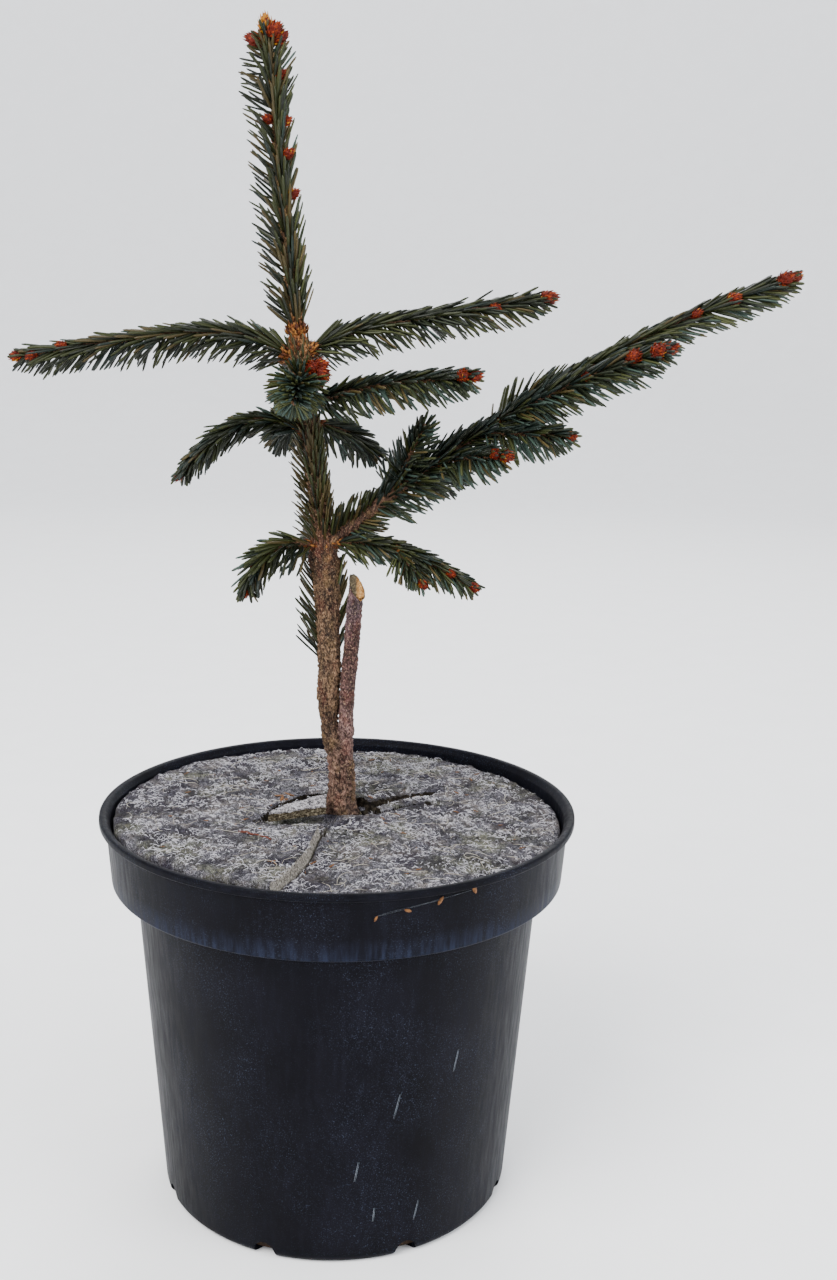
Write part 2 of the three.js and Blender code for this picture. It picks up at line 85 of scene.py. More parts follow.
# %% Helpers for finishes
def paint(code):
    """A linear colour from a chart code such as 8a7f70"""
    parts = [int(code[i : i + 2], 16) / 255 for i in (0, 2, 4)]
    linear = [c / 12.92 if c <= 0.04045 else ((c + 0.055) / 1.055) ** 2.4 for c in parts]
    return (*linear, 1.0)


def add(finish, kind, inputs=None, **settings):
    """A node with its settings; each input is a plain value or another node's output"""
    made = finish.node_tree.nodes.new(kind)
    for name, value in settings.items():
        setattr(made, name, value)
    for socket, value in (inputs or {}).items():
        if isinstance(value, bpy.types.NodeSocket):
            finish.node_tree.links.new(value, made.inputs[socket])
        else:
            made.inputs[socket].default_value = value
    return made


def new_finish(name, roughness, gloss=0.4):
    finish = bpy.data.materials.new(name)
    finish.use_nodes = True
    shader = finish.node_tree.nodes["Principled BSDF"]
    shader.inputs["Roughness"].default_value = roughness
    shader.inputs["Specular IOR Level"].default_value = gloss
    return finish


def place_of(finish, stretch=(1, 1, 1)):
    """The surface's own place in the object, in millimetres; a pattern on it is drawn out by stretch"""
    where = add(finish, "ShaderNodeTexCoord").outputs["Object"]
    scale = [1 / (MM * s) for s in stretch]
    return add(finish, "ShaderNodeMapping", {"Vector": where, "Scale": scale}).outputs["Vector"]


def grain(finish, size, stretch=(1, 1, 1), detail=3.0, rough=0.55, warp=0.0):
    """Noise whose patches are about size millimetres across"""
    settings = {"Scale": 1 / size, "Detail": detail, "Roughness": rough, "Distortion": warp}
    return add(finish, "ShaderNodeTexNoise", {"Vector": place_of(finish, stretch), **settings}).outputs["Fac"]


def tones(finish, amount, stops):
    """Colours along a ramp, from (place, chart code) pairs"""
    made = add(finish, "ShaderNodeValToRGB", {"Fac": amount})
    ramp = made.color_ramp
    while len(ramp.elements) < len(stops):
        ramp.elements.new(0.5)
    for element, (place, code) in zip(ramp.elements, stops):
        element.position = place
        element.color = paint(code)
    return made.outputs["Color"]


def blend_tones(finish, amount, under, over, way="MIX"):
    made = add(finish, "ShaderNodeMix", data_type="RGBA", blend_type=way)
    for index, value in ((0, amount), (6, under), (7, over)):
        if isinstance(value, bpy.types.NodeSocket):
            finish.node_tree.links.new(value, made.inputs[index])
        else:
            made.inputs[index].default_value = value
    return made.outputs[2]


def between(finish, value, low, high, to=(0.0, 1.0)):
    """Maps a value from low and high to another range, and clamps it"""
    inputs = {"Value": value, "From Min": low, "From Max": high, "To Min": to[0], "To Max": to[1]}
    return add(finish, "ShaderNodeMapRange", inputs).outputs["Result"]


def times(finish, first, second):
    return add(finish, "ShaderNodeMath", {0: first, 1: second}, operation="MULTIPLY").outputs[0]


def glazed(finish, colour, glazes):
    """Lays paints over a colour, each by a share that changes where its noise goes from low to high"""
    for amount, low, high, share, code in glazes:
        colour = blend_tones(finish, between(finish, amount, low, high, share), colour, paint(code))
    return colour


def wear(finish, colour=None, height=None, depth=0.2, strength=0.6, roughness=None):
    """Connects a colour, a relief of depth millimetres and a roughness to the shader"""
    shader = finish.node_tree.nodes["Principled BSDF"]
    if colour is not None:
        finish.node_tree.links.new(colour, shader.inputs["Base Color"])
    if roughness is not None:
        finish.node_tree.links.new(roughness, shader.inputs["Roughness"])
    if height is not None:
        bump = add(finish, "ShaderNodeBump", {"Height": height, "Distance": depth * MM, "Strength": strength})
        finish.node_tree.links.new(bump.outputs["Normal"], shader.inputs["Normal"])
    return finish


def grained(name, roughness, gloss, size, stops, depth=None, strength=0.6, **pattern):
    """A finish of one grain, which sets the tones and, where a depth is given, the relief too"""
    finish = new_finish(name, roughness, gloss)
    grains = grain(finish, size, **pattern)
    return wear(finish, tones(finish, grains, stops), grains if depth else None, depth, strength)


print("chart code 808080 in linear light:", [round(c, 3) for c in paint("808080")[:3]])

# %% [markdown]
# ## A workshop for meshes
# A plant is thousands of slim things. Modifiers and instances would make them one by one, but the finished
# part keeps only real meshes, so we work out whole arrays of corners at once with numpy and join them.
# Two shapes carry nearly everything: a tube along a line, and a spike with a few rings and a point.
# Some numbers come back in every cell, such as a level direction or soft noise, so they are helpers too.

# %% Helpers for meshes
def make_piece(name, points, faces, finishes, face_finish=None):
    """A mesh from points in millimetres; it rides on the part's one body"""
    mesh = bpy.data.meshes.new(name)
    mesh.from_pydata((np.asarray(points) * MM).tolist(), [], faces)
    for finish in finishes:
        mesh.materials.append(finish)
    if face_finish is not None:
        mesh.polygons.foreach_set("material_index", np.asarray(face_finish, dtype=np.int32))
    mesh.shade_smooth()
    piece = bpy.data.objects.new(name, mesh)
    bpy.context.collection.objects.link(piece)
    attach(piece, "root")
    print(name, "faces:", len(mesh.polygons))
    return piece


def unit(vectors):
    return vectors / np.maximum(np.linalg.norm(vectors, axis=-1, keepdims=True), 1e-9)


def clamped(value):
    return min(1, max(0, value))


def level_way(azimuth):
    """The level direction of an azimuth in degrees"""
    turn = math.radians(azimuth)
    return np.array([math.cos(turn), math.sin(turn), 0])


def ripple(x, y, pace, layer):
    """Soft noise over the plan: pace waves a millimetre; each layer number gives another noise"""
    return noise.noise(Vector((x * pace, y * pace, layer)))


def stacked(sets):
    """Joins many tuples of arrays, place by place"""
    return [np.concatenate(column) for column in zip(*sets)]


def ring_faces(count, rings, sides, capped_tip):
    """Quads of many closed strands at once; each strand has rings of the same number of sides"""
    per_strand = rings * sides + (1 if capped_tip else 0)
    ring, side = np.meshgrid(np.arange(rings - 1), np.arange(sides), indexing="ij")
    ring, side = ring.ravel(), side.ravel()
    beside = (side + 1) % sides
    low, high = ring * sides, (ring + 1) * sides
    quads = np.stack([low + side, low + beside, high + beside, high + side], 1)
    starts = np.arange(count)[:, None, None] * per_strand
    faces = (quads[None] + starts).reshape(-1, 4).tolist()
    strip = np.tile(side, count)
    foot = np.arange(sides)[::-1]
    faces += (foot[None] + starts[:, 0]).tolist()
    last = (rings - 1) * sides + np.arange(sides)
    if capped_tip:
        tips = np.stack([last, np.roll(last, -1), np.full(sides, rings * sides)], 1)
        faces += (tips[None] + starts).reshape(-1, 3).tolist()
    else:
        faces += (last[None] + starts[:, 0]).tolist()
    return faces, strip


def spikes(foot, heading, length, width, thick, lean, bow, profile, sides=4):
    """Slim pointed things: rings set by profile (share of length, share of width), bowed towards lean"""
    count = len(foot)
    across = unit(np.cross(heading, lean))
    through = np.cross(heading, across)
    angles = np.arange(sides) * 2 * np.pi / sides + np.pi / sides
    rings = []
    for share, swell in profile:
        reach = heading * (length * share)[:, None] + lean * (length * bow * share * share)[:, None]
        ring = foot[:, None] + reach[:, None]
        ring = ring + across[:, None] * (np.cos(angles)[None, :, None] * (width / 2 * swell)[:, None, None])
        ring = ring + through[:, None] * (np.sin(angles)[None, :, None] * (thick / 2 * swell)[:, None, None])
        rings.append(ring)
    tip = foot + heading * length[:, None] + lean * (length * bow)[:, None]
    points = np.concatenate([np.concatenate(rings, 1), tip[:, None]], 1).reshape(-1, 3)
    faces, strip = ring_faces(count, len(profile), sides, True)
    return points, faces, strip


def one_spike(foot, heading, length, width, thick, lean, bow, profile, sides=4):
    alone = [np.array([value]) for value in (foot, heading, length, width, thick, lean, bow)]
    return spikes(*alone, profile, sides)[:2]


def spike_finishes(kind, profile, sides=4):
    """The finish of each face of many spikes: their strips, their feet, then their tips"""
    return np.concatenate([np.repeat(kind, (len(profile) - 1) * sides), kind, np.repeat(kind, sides)])


def strands(paths, radius, sides=3):
    """Closed threads along many paths with the same number of points"""
    count, steps = paths.shape[:2]
    along = unit(np.gradient(paths, axis=1))
    across = unit(np.cross(along, np.array([0.13, 0.21, 0.97])))
    through = np.cross(along, across)
    angles = np.arange(sides) * 2 * np.pi / sides
    wide = radius[:, :, None, None]
    points = paths[:, :, None] + across[:, :, None] * np.cos(angles)[None, None, :, None] * wide
    points = points + through[:, :, None] * np.sin(angles)[None, None, :, None] * wide
    faces, _ = ring_faces(count, steps, sides, False)
    return points.reshape(-1, 3), faces


def join_up(parts):
    """Joins (points, faces) pairs into one pair"""
    points, faces, start = [], [], 0
    for some_points, some_faces in parts:
        points.append(some_points)
        faces += [[corner + start for corner in face] for face in some_faces]
        start += len(some_points)
    return np.concatenate(points), faces


print("faces of one four-sided needle with five rings:", len(ring_faces(1, 5, 4, True)[0]))

# %% [markdown]
# ## The pot
# The real pot is injection-moulded polypropylene: a thin shell that widens upwards, a stepped collar with a
# rolled lip to stack and lift it by, and drain holes across the corner of the base. It could be modelled
# from a cylinder with bevels, but a turned profile says the same in a short list of corners. Moulded plastic
# has no sharp corners, so every corner gets a small radius before the profile is turned.

# %% The pot's profile
# Radius, height and rounding of each corner: up the outside, over the lip and down the inside
pot_profile = [
    (0, 0, 0),
    (81.9, 0, 1.2),
    (84.3, 2.4, 1.5),
    (96.1, 157.3, 0.8),
    (107.2, 157.3, 1.3),
    (109.4, 185.4, 0.5),
    (112.5, 186.0, 0.7),
    (112.5, 189.3, 1.2),
    (109.5, 189.3, 1.2),
    (107.4, 186.4, 0.5),
    (105.2, 159.3, 1.5),
    (94.1, 159.3, 0.8),
    (82.3, 3, 2.5),
    (0, 3, 0),
]


def rounded(profile, steps=4):
    """Swaps each corner for a short arc that leaves the straight parts where they are"""
    outline = []
    for i, (radius, height, fillet) in enumerate(profile):
        corner = Vector((radius, height))
        if fillet == 0:
            outline.append(corner)
            continue
        before = Vector(profile[i - 1][:2]) - corner
        after = Vector(profile[i + 1][:2]) - corner
        reach = min(fillet, before.length * 0.45, after.length * 0.45)
        start, end = corner + before.normalized() * reach, corner + after.normalized() * reach
        for step in range(steps + 1):
            t = step / steps
            outline.append(start * (1 - t) ** 2 + corner * 2 * t * (1 - t) + end * t**2)
    return outline


def turned(outline, segments):
    """Turns an outline that starts and ends on the axis into a closed solid"""
    inner = outline[1:-1]
    angles = np.arange(segments) * 2 * np.pi / segments
    points = [(0, 0, outline[0].y), (0, 0, outline[-1].y)]
    for spot in inner:
        points += [(spot.x * math.cos(a), spot.x * math.sin(a), spot.y) for a in angles]
    faces = []
    for k in range(segments):
        n = (k + 1) % segments
        faces.append([0, 2 + n, 2 + k])
        for row in range(len(inner) - 1):
            low, high = 2 + row * segments, 2 + (row + 1) * segments
            faces.append([low + k, low + n, high + n, high + k])
        last = 2 + (len(inner) - 1) * segments
        faces.append([1, last + k, last + n])
    return np.array(points), faces


print("pot profile:", len(pot_profile), "corners,", len(rounded(pot_profile)), "points once they are rounded")

# %% [markdown]
# ### Dusty satin plastic
# Black plant pots are never quite black. Dried splashes leave a fine pale speckle, drips draw it out into
# upright streaks, and a pale bluish haze lies low on the collar, just above its step.
# The haze is found by height, the streaks by squeezing the noise sideways.

# %% Pot plastic
pot_plastic = new_finish("satin_pot_plastic", 0.45, 0.04)
streaks = grain(pot_plastic, 2.2, (1, 1, 9), detail=4)
speckle = grain(pot_plastic, 0.6, detail=3, rough=0.75)
splashed = between(pot_plastic, grain(pot_plastic, 34, (1, 1, 1.3), detail=4, rough=0.6), 0.4, 0.62, (0.15, 1))
clouds = grain(pot_plastic, 26, (1, 1, 1.6), detail=3)
black = tones(pot_plastic, clouds, [(0.3, "050508"), (0.7, "0b0b11")])
dusty = blend_tones(pot_plastic, between(pot_plastic, streaks, 0.5, 0.85, (0, 0.35)), black, paint("191a23"))
specks = times(pot_plastic, splashed, between(pot_plastic, speckle, 0.57, 0.66, (0, 0.6)))
specked = blend_tones(pot_plastic, specks, dusty, paint("3d4456"))
# A pale bluish haze on the collar's lowest band, fading upwards from the step
height_up = add(pot_plastic, "ShaderNodeSeparateXYZ", {"Vector": place_of(pot_plastic)}).outputs["Z"]
above_edge = between(pot_plastic, height_up, 158.5, 168, (1, 0))
below_edge = between(pot_plastic, height_up, 156.4, 157.2)
haze = times(pot_plastic, above_edge, below_edge)
patchy = times(pot_plastic, haze, between(pot_plastic, streaks, 0.4, 0.65, (0.12, 0.75)))
wear(
    pot_plastic,
    colour=blend_tones(pot_plastic, patchy, specked, paint("212637")),
    height=grain(pot_plastic, 0.8, detail=3),
    depth=0.06,
    strength=0.35,
    roughness=between(pot_plastic, streaks, 0.3, 0.8, (0.36, 0.6)),
)
print("pot plastic nodes:", len(pot_plastic.node_tree.nodes))

# %% [markdown]
# ### The shell and its drain holes
# The real mould leaves eight round openings where the wall meets the base. They could be modelled into the
# profile's faces, but drilling is what a maker would do: eight short rods on a slant, cut out at one stroke.

# %% The pot's shell and its drain holes
pot_shell = make_piece("pot_shell", *turned(rounded(pot_profile), 192), [pot_plastic])
drain_count, drain_radius, drain_reach = 8, 5.5, 14
drain_start, drain_place = 22.5, 83.3
drills = []
for i in range(drain_count):
    outward = level_way(drain_start + i * 360 / drain_count)
    lean = (outward - np.array([0, 0, 1])) / math.sqrt(2)
    middle = outward * drain_place + np.array([0, 0, 1])
    path = np.array([[middle - lean * drain_reach / 2, middle, middle + lean * drain_reach / 2]])
    drills.append(strands(path, np.full((1, 3), drain_radius), sides=32))
drill = make_piece("drain_drill", *join_up(drills), [pot_plastic])
cut = pot_shell.modifiers.new("drain_holes", "BOOLEAN")
cut.operation, cut.solver, cut.object = "DIFFERENCE", "EXACT", drill
drilled = bpy.data.meshes.new_from_object(pot_shell.evaluated_get(bpy.context.evaluated_depsgraph_get()))
pot_shell.modifiers.clear()
pot_shell.data = drilled
bpy.data.objects.remove(drill)
pot_shell.data.set_sharp_from_angle(angle=math.radians(35))
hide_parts("pot")
print("pot shell with", drain_count, "drain holes:", len(pot_shell.data.polygons), "faces")

# %% [markdown]
# ### Soil
# The potting mix hardly shows: only through the slit, round the trunk and in the drain holes. The CAD solid
# has the right shape for that, so it stays, and gets the crumbly dark finish of moist peat.

# %% Soil
peat_tones = [(0.3, "120c08"), (0.55, "2b1e14"), (0.75, "4a3624")]
soil_finish = grained("moist_peat", 0.95, 0.2, 1.6, peat_tones, 1.2, 1.0, detail=6, rough=0.7)
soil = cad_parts["potting_soil"]
soil.data.materials.clear()
soil.data.materials.append(soil_finish)
print("soil keeps its solid:", len(soil.data.polygons), "faces")

# %% [markdown]
# ## The felt disc
# A mulch disc is a mat of plant fibres pressed and needled together, about five millimetres thick, slit to
# the middle so that it slips round the trunk. This one has weathered: it is lumpy, the sector left of the
# slit has lifted, a crack runs behind the front part, and a crevice opens to the right of the trunk.
# Cloth simulation would give folds, which felt doesn't have. A height rule on a round grid gives its lumps,
# and keeps the slit's two sides as real cut faces.

# %% The felt's measures
# Everything in millimetres, azimuths and spreads in degrees
trunk_foot = np.array([1.4, 12.0])
felt = {"radius": 106.2, "hole": 9.6, "mean_top": 185, "dome": 1.4, "tilt": 2.3, "low_side": 15}
slit = {"azimuth": -102.9, "half_width": 0.15, "lift": 3.9, "spread": 34, "foot_lift": 0.75}
# Right of the slit the rim leans away from it and dips, from a distance on and over a short ease
rim_lean = {"by": 1.7, "from": 24, "ease": 6, "columns": 8}
rim_dip = {"by": 1.7, "from": 20, "ease": 8, "spread": 13}
# Distance from the trunk's foot, and how far the slit strays to the right there
slit_stray = np.array([(0, 0), (44, 1.3), (75, 3.4), (89, 3.4), (112, -1.5)])
soil_top = 178.3
# The back edge of the lifted sector, and the sunken patch round the trunk's foot
sector_back = [(-60, 2), (-35, -18.5), (-28, -25.5), (-15, -27), (-6.5, -33), (6, -36)]
sunken = [(-40, -19), (-28, -25.5), (-15, -27), (-6.5, -33), (-4.4, -13), (5, -9.5),
          (13, -4), (20, 3), (12, 17), (-4, 24), (-17, 23), (-30, 4)]
sunken_depth, sunken_edge = 3.6, 1.2
# Start, end, half width and depth of each crack
cracks = [((9, 6), (27, 20), 2.6, 5.5), ((27, 20), (47, 31), 2.1, 4.5), ((20, 1), (33, 9), 1.4, 3.4),
          ((33, 9), (45, 13), 1.2, 2.5), ((-5, -13), (6, -9.5), 1.3, 3.2), ((6, -9.5), (20, 0), 1.2, 3.0)]
print("felt:", 2 * felt["radius"], "mm across, cracks:", len(cracks))


# %% The felt's height rule
def crack_depth(x, y):
    """How deep the deepest crack is at a place; each crack closes towards its end"""
    deepest = 0.0
    for start, end, half, depth in cracks:
        line = Vector(end) - Vector(start)
        share = clamped((Vector((x, y)) - Vector(start)).dot(line) / line.length_squared)
        away = (Vector((x, y)) - Vector(start) - line * share).length + ripple(x, y, 0.25, 3) * 0.7
        narrowing = min(1, 6 * (1 - share) + 0.2)
        deepest = max(deepest, depth * (1 - min(1, max(0, away - half * 0.5) / half)) * narrowing)
    return deepest


def stray(distance):
    """How far the slit strays to the right at a distance from the trunk's foot"""
    return float(np.interp(distance, slit_stray[:, 0], slit_stray[:, 1]))


def ahead_of(line, x, y):
    """How far a place lies in front of a line that runs from left to right"""
    return float(np.interp(x, [spot[0] for spot in line], [spot[1] for spot in line])) - y


def inside(outline, x, y):
    """How far inside an outline a place lies, in millimetres, 0 outside"""
    within, nearest = False, 1e9
    for (ax, ay), (bx, by) in zip(outline, outline[1:] + outline[:1]):
        if (ay > y) != (by > y) and x < (bx - ax) * (y - ay) / (by - ay) + ax:
            within = not within
        line = Vector((bx - ax, by - ay))
        share = clamped(Vector((x - ax, y - ay)).dot(line) / line.length_squared)
        nearest = min(nearest, (Vector((x - ax, y - ay)) - line * share).length)
    return nearest if within else 0.0


def felt_base(x, y):
    out = math.hypot(x, y) / felt["radius"]
    low = math.radians(felt["low_side"])
    across = (x * math.cos(low) + y * math.sin(low)) / felt["radius"]
    return felt["mean_top"] + felt["dome"] * (1 - out * out) - felt["tilt"] * across


def felt_top(x, y):
    """Height of the felt's upper face, lumps and cracks and lifted sector included"""
    lumps = ripple(x, y, 0.06, 0) * 0.9 + ripple(x, y, 0.18, 5) * 0.7
    fluff = ripple(x, y, 0.42, 2) * 0.45 + ripple(x, y, 0.9, 9) * 0.25
    spot = np.array([x, y]) - trunk_foot
    distance = np.linalg.norm(spot)
    bent = stray(distance) / max(20, distance)
    turn = math.degrees(math.atan2(spot[1], spot[0]) - bent) - slit["azimuth"]
    left_of_slit, right_of_slit = (-turn) % 360, turn % 360
    outward = clamped((distance - felt["hole"]) / (felt["radius"] - felt["hole"]))
    rising = slit["foot_lift"] + (1 - slit["foot_lift"]) * outward
    fade = rising * math.exp(-((left_of_slit / slit["spread"]) ** 2))
    ragged = ripple(x, y, 0.4, 7) * 1.2
    lifted = clamped((ahead_of(sector_back, x, y) + ragged) / 1.4)
    beside_slit = math.exp(-((right_of_slit / rim_dip["spread"]) ** 2))
    dip = rim_dip["by"] * beside_slit * clamped((distance - rim_dip["from"]) / rim_dip["ease"])
    sink = dip + sunken_depth * min(1, inside(sunken, x, y) / sunken_edge) * (1 - lifted)
    return felt_base(x, y) + slit["lift"] * fade * lifted + lumps + fluff - crack_depth(x, y) - sink


print("felt top left and right of the slit:", round(felt_top(-30, -75), 1), round(felt_top(0, -75), 1), "mm")

# %% [markdown]
# ### The felt's finish
# Weathered felt is a tangle of grey, violet-grey and straw fibres. One noise would look like stone, so the
# finish lays grains of many sizes over each other: mossy stains and violet patches of about twenty
# millimetres, brown blotches, dark clumps, and threads of half a millimetre. Where the felt was cut or torn
# it has other tones: brown layers on the edges and a paler top on the loose corner. The wall in the slit is
# a paler felt, partly its own colour and partly painted light, and the cracks are painted near-black shade.

# %% Felt finishes
felt_finish = new_finish("weathered_felt", 0.95, 0.15)
blotches = grain(felt_finish, 9, detail=4, rough=0.6)
clumps = grain(felt_finish, 3.0, (1, 1.7, 1), detail=6, rough=0.75, warp=0.8)
tangle = grain(felt_finish, 0.5, (1, 2.0, 1.5), detail=5, rough=0.75, warp=0.7)
threads = grain(felt_finish, 0.5, (1, 2.4, 1.5), detail=3, rough=0.7, warp=2.0)
stains = grain(felt_finish, 24, detail=3, rough=0.6)
patches = grain(felt_finish, 19, (1, 1.4, 1), detail=7, rough=0.75, warp=0.6)
mottle = tones(felt_finish, tangle, [(0.38, "0b0a0d"), (0.47, "3f3d44"), (0.56, "77757d"), (0.66, "cbc9cf")])
glazes = [
    (blotches, 0.47, 0.66, (0, 0.6), "6d6358"),
    (stains, 0.5, 0.62, (0, 0.6), "5f6148"),
    (clumps, 0.4, 0.56, (0.75, 0), "121115"),
    (threads, 0.6, 0.68, (0, 0.8), "dcdada"),
]
violet = tones(felt_finish, patches, [(0.4, "85808f"), (0.56, "ffffff")])
worn_down = blend_tones(felt_finish, 1.0, glazed(felt_finish, mottle, glazes), violet, "MULTIPLY")
wear(felt_finish, worn_down, tangle, 1.0, 0.9)

edge_tones = [(0.4, "17130d"), (0.53, "473f31"), (0.67, "9a9079")]
# The slit's wall is paler cut felt, partly its own colour and partly painted light, since it faces away from the
# lamps
pale_lit_wall_tones = [(0.4, "38342e"), (0.5, "827b71"), (0.6, "cfc9bf")]
# The loose corner's top is paler than the felt round it
paler_top_tones = [(0.39, "1d1b1e"), (0.48, "686467"), (0.6, "c9c4c5")]
crack_shade_tones = [(0.35, "080706"), (0.55, "1c1813"), (0.7, "37322a")]
layered = dict(stretch=(1.6, 1.6, 1), detail=5, rough=0.75, warp=0.8)
combed = dict(stretch=(1, 2, 1.5), detail=5, rough=0.75, warp=0.7)
cut_finish = grained("cut_felt_edge", 0.95, 0.15, 0.8, edge_tones, 0.8, 0.9, **layered)
pale_lit_wall_finish = grained("pale_felt_with_painted_light", 0.95, 0.15, 1.1, pale_lit_wall_tones, 1.2, 1.0, detail=6, rough=0.85, warp=0.6)
corner_finish = grained("bleached_felt", 0.95, 0.15, 0.8, paler_top_tones, 1.2, 1.0, **combed)
# Painted shade: a near-black felt for the cracks and the rim of the sunken patch, darker than their own shading
crack_shade_finish = grained("painted_crack_shade", 1.0, 0.05, 2, crack_shade_tones, 1.0, 1.0, detail=4)
print("felt finishes made")

# %% [markdown]
# ### The felt ring
# The disc lies round the trunk and is open along its slit. We walk round the trunk's foot from one side of
# the slit to the other, set a row of points outwards at each step, and ask the height rule for each point.
# The rows at both ends get a wall down to the soil, so the slit shows real thickness. Each face takes the
# finish of what it is: top, cut edge or slit wall, partly painted light; the cracks and the sunken patch's
# rim take painted near-black shade.

# %% The felt ring
around_count, outward_count = 420, 90
frayed_edges = (0, outward_count)
azimuths = math.radians(slit["azimuth"]) + np.linspace(0, 2 * np.pi, around_count + 1)
beside = np.array([-math.sin(azimuths[0]), math.cos(azimuths[0])])
upper, lower, wall_foot = [], [], []
for i, azimuth in enumerate(azimuths):
    heading = np.array([math.cos(azimuth), math.sin(azimuth)])
    forward = trunk_foot @ heading
    reach = math.sqrt(forward**2 + felt["radius"] ** 2 - trunk_foot @ trunk_foot) - forward
    at_slit = 1 if i == 0 else -1 if i == around_count else 0
    for j in range(outward_count + 1):
        share = (j / outward_count) ** 1.25
        ragged = ripple(*heading, 9, share) * 1.1
        distance = felt["hole"] + (reach - felt["hole"]) * share + (ragged - 0.5 if j in frayed_edges else 0)
        bent = stray(distance) * math.exp(-((min(i, around_count - i) / 25) ** 2))
        x, y = trunk_foot + heading * min(distance, reach - 0.4) + beside * (slit["half_width"] * at_slit + bent)
        if at_slit:
            wall_foot.append((x, y, soil_top))
        lean = rim_lean["by"] * clamped((distance - rim_lean["from"]) / rim_lean["ease"])
        x, y = np.array([x, y]) - beside * lean * math.exp(-(((around_count - i) / rim_lean["columns"]) ** 2))
        top = felt_top(*(np.array([x, y]) + beside * 0.3 * at_slit))
        upper.append((x, y, top - (0.9 if j in frayed_edges else 0.0)))
        if j in frayed_edges:
            lower.append((x, y, soil_top))
row, start = outward_count + 1, len(upper)
faces, face_finish = [], []
TOP, EDGE, CRACK_SHADE, PALE_LIT_WALL = range(4)
for i in range(around_count):
    for j in range(outward_count):
        faces.append([i * row + j, i * row + j + 1, (i + 1) * row + j + 1, (i + 1) * row + j])
        x, y, _ = upper[i * row + j]
        # Faces deep in a crack or on the sunken patch's rim take the painted crack shade
        rim_width = 1.1 + 2.4 * ripple(x, y, 0.13, 7)
        in_crack_shade = crack_depth(x, y) > 0.7 or 0 < inside(sunken, x, y) < rim_width
        face_finish.append(CRACK_SHADE if in_crack_shade else TOP)
    here, there = start + 2 * i, start + 2 * i + 2
    inner, outer = i * row, i * row + outward_count
    faces += [[inner, inner + row, there, here], [outer + row, outer, here + 1, there + 1]]
    faces.append([there, there + 1, here + 1, here])
    face_finish += [EDGE, TOP, EDGE]
last, foot = around_count * row, start + len(lower)
for j in range(outward_count):
    faces += [[j + 1, j, foot + j, foot + j + 1], [last + j, last + j + 1, foot + row + j + 1, foot + row + j]]
    face_finish += [EDGE, PALE_LIT_WALL]
ring_finishes = [felt_finish, cut_finish, crack_shade_finish, pale_lit_wall_finish]
felt_ring = make_piece("felt_ring", upper + lower + wall_foot, faces, ring_finishes, face_finish)
felt_ring.data.set_sharp_from_angle(angle=math.radians(50))
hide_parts("mulch_disc")

# %% [markdown]
# ### The loose corner
# Beside the trunk lies a loose four-sided tongue of felt, with a dark gap under its front edge. It could be
# cut out of the ring, but a slab of its own is simpler: a warped grid between four corners, frayed along
# the edges.

# %% The loose corner of felt
corners = [Vector(c) for c in ((-33.5, -17), (-5.5, -12), (-5.5, 6.5), (-26, -3.5))]
tongue = {"foot": 187.0, "thick": 4.2, "slope": 2.4, "middle": Vector((-17, -6)), "steps": 36}


def tongue_point(u, v, over):
    """A point of the loose corner's top (over = 1) or underside (over = 0)"""
    front = corners[0].lerp(corners[1], u)
    spot = front.lerp(corners[3].lerp(corners[2], u), v)
    on_edge = min(u, 1 - u, v, 1 - v) * tongue["steps"] < 0.5
    fray = ripple(*spot, 0.5, 2 + over) * (0.9 if on_edge else 0)
    spot = spot + (spot - tongue["middle"]).normalized() * (fray - (0.7 if on_edge else 0))
    lumps = ripple(*spot, 0.25, over) * 0.6
    fluff = ripple(*spot, 1, 4 + over) * 0.25
    rim = -0.7 if over and on_edge else 0.0
    above_foot = tongue["thick"] + lumps + fluff + rim if over else fluff
    return (spot.x, spot.y, tongue["foot"] + tongue["slope"] * (u - 0.4) + above_foot)


steps = tongue["steps"]
grid = [(u / steps, v / steps) for u in range(steps + 1) for v in range(steps + 1)]
points = [tongue_point(u, v, 1) for u, v in grid] + [tongue_point(u, v, 0) for u, v in grid]
row, start = steps + 1, len(grid)
faces, face_finish = [], []
for i in range(steps):
    for j in range(steps):
        a, b, c, d = i * row + j, (i + 1) * row + j, (i + 1) * row + j + 1, i * row + j + 1
        faces += [[a, b, c, d], [start + d, start + c, start + b, start + a]]
        face_finish += [TOP, EDGE]
    last, here, there = steps * row, i * row, (i + 1) * row
    for a, b in ((here, there), (there + steps, here + steps), (last + i, last + i + 1), (i + 1, i)):
        faces.append([b, a, start + a, start + b])
        face_finish.append(EDGE)
felt_tongue = make_piece("felt_tongue", points, faces, [corner_finish, cut_finish], face_finish)
felt_tongue.data.set_sharp_from_angle(angle=math.radians(50))
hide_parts("mulch_flap")

# %% [markdown]
# ### Loose fibres
# What tells felt from stone is the fuzz: single fibres that lie on it in all directions. Hair particles
# would be quick, but they are lost when the part is handed on. So each fibre is a thin three-sided thread
# that wanders over the felt's height rule, in three plain colours. The pale ones gather in clouds where the
# felt is worn, the dark ones lie between those clouds, and a few long straws lie anywhere.

# %% Loose fibres
def fibre_finish(name, code):
    finish = new_finish(name, 0.8, 0.25)
    dulled = between(finish, grain(finish, 6, detail=2), 0.3, 0.7, (0, 0.3))
    return wear(finish, blend_tones(finish, dulled, paint(code), paint("6a666c")))


def on_felt(x, y):
    """Height of the felt or of the loose corner, whichever lies on top"""
    if inside([tuple(corner) for corner in corners], x, y) > 0:
        return tongue["foot"] + tongue["thick"] + tongue["slope"] * ((x + 32) / 27 - 0.4) + 0.2
    return felt_top(x, y)


fibre_zone = {"start": 104, "limit": 105.4, "trunk": 12}
fibre_taper = np.array([0.5, 0.9, 1, 1, 1, 0.9, 0.4])


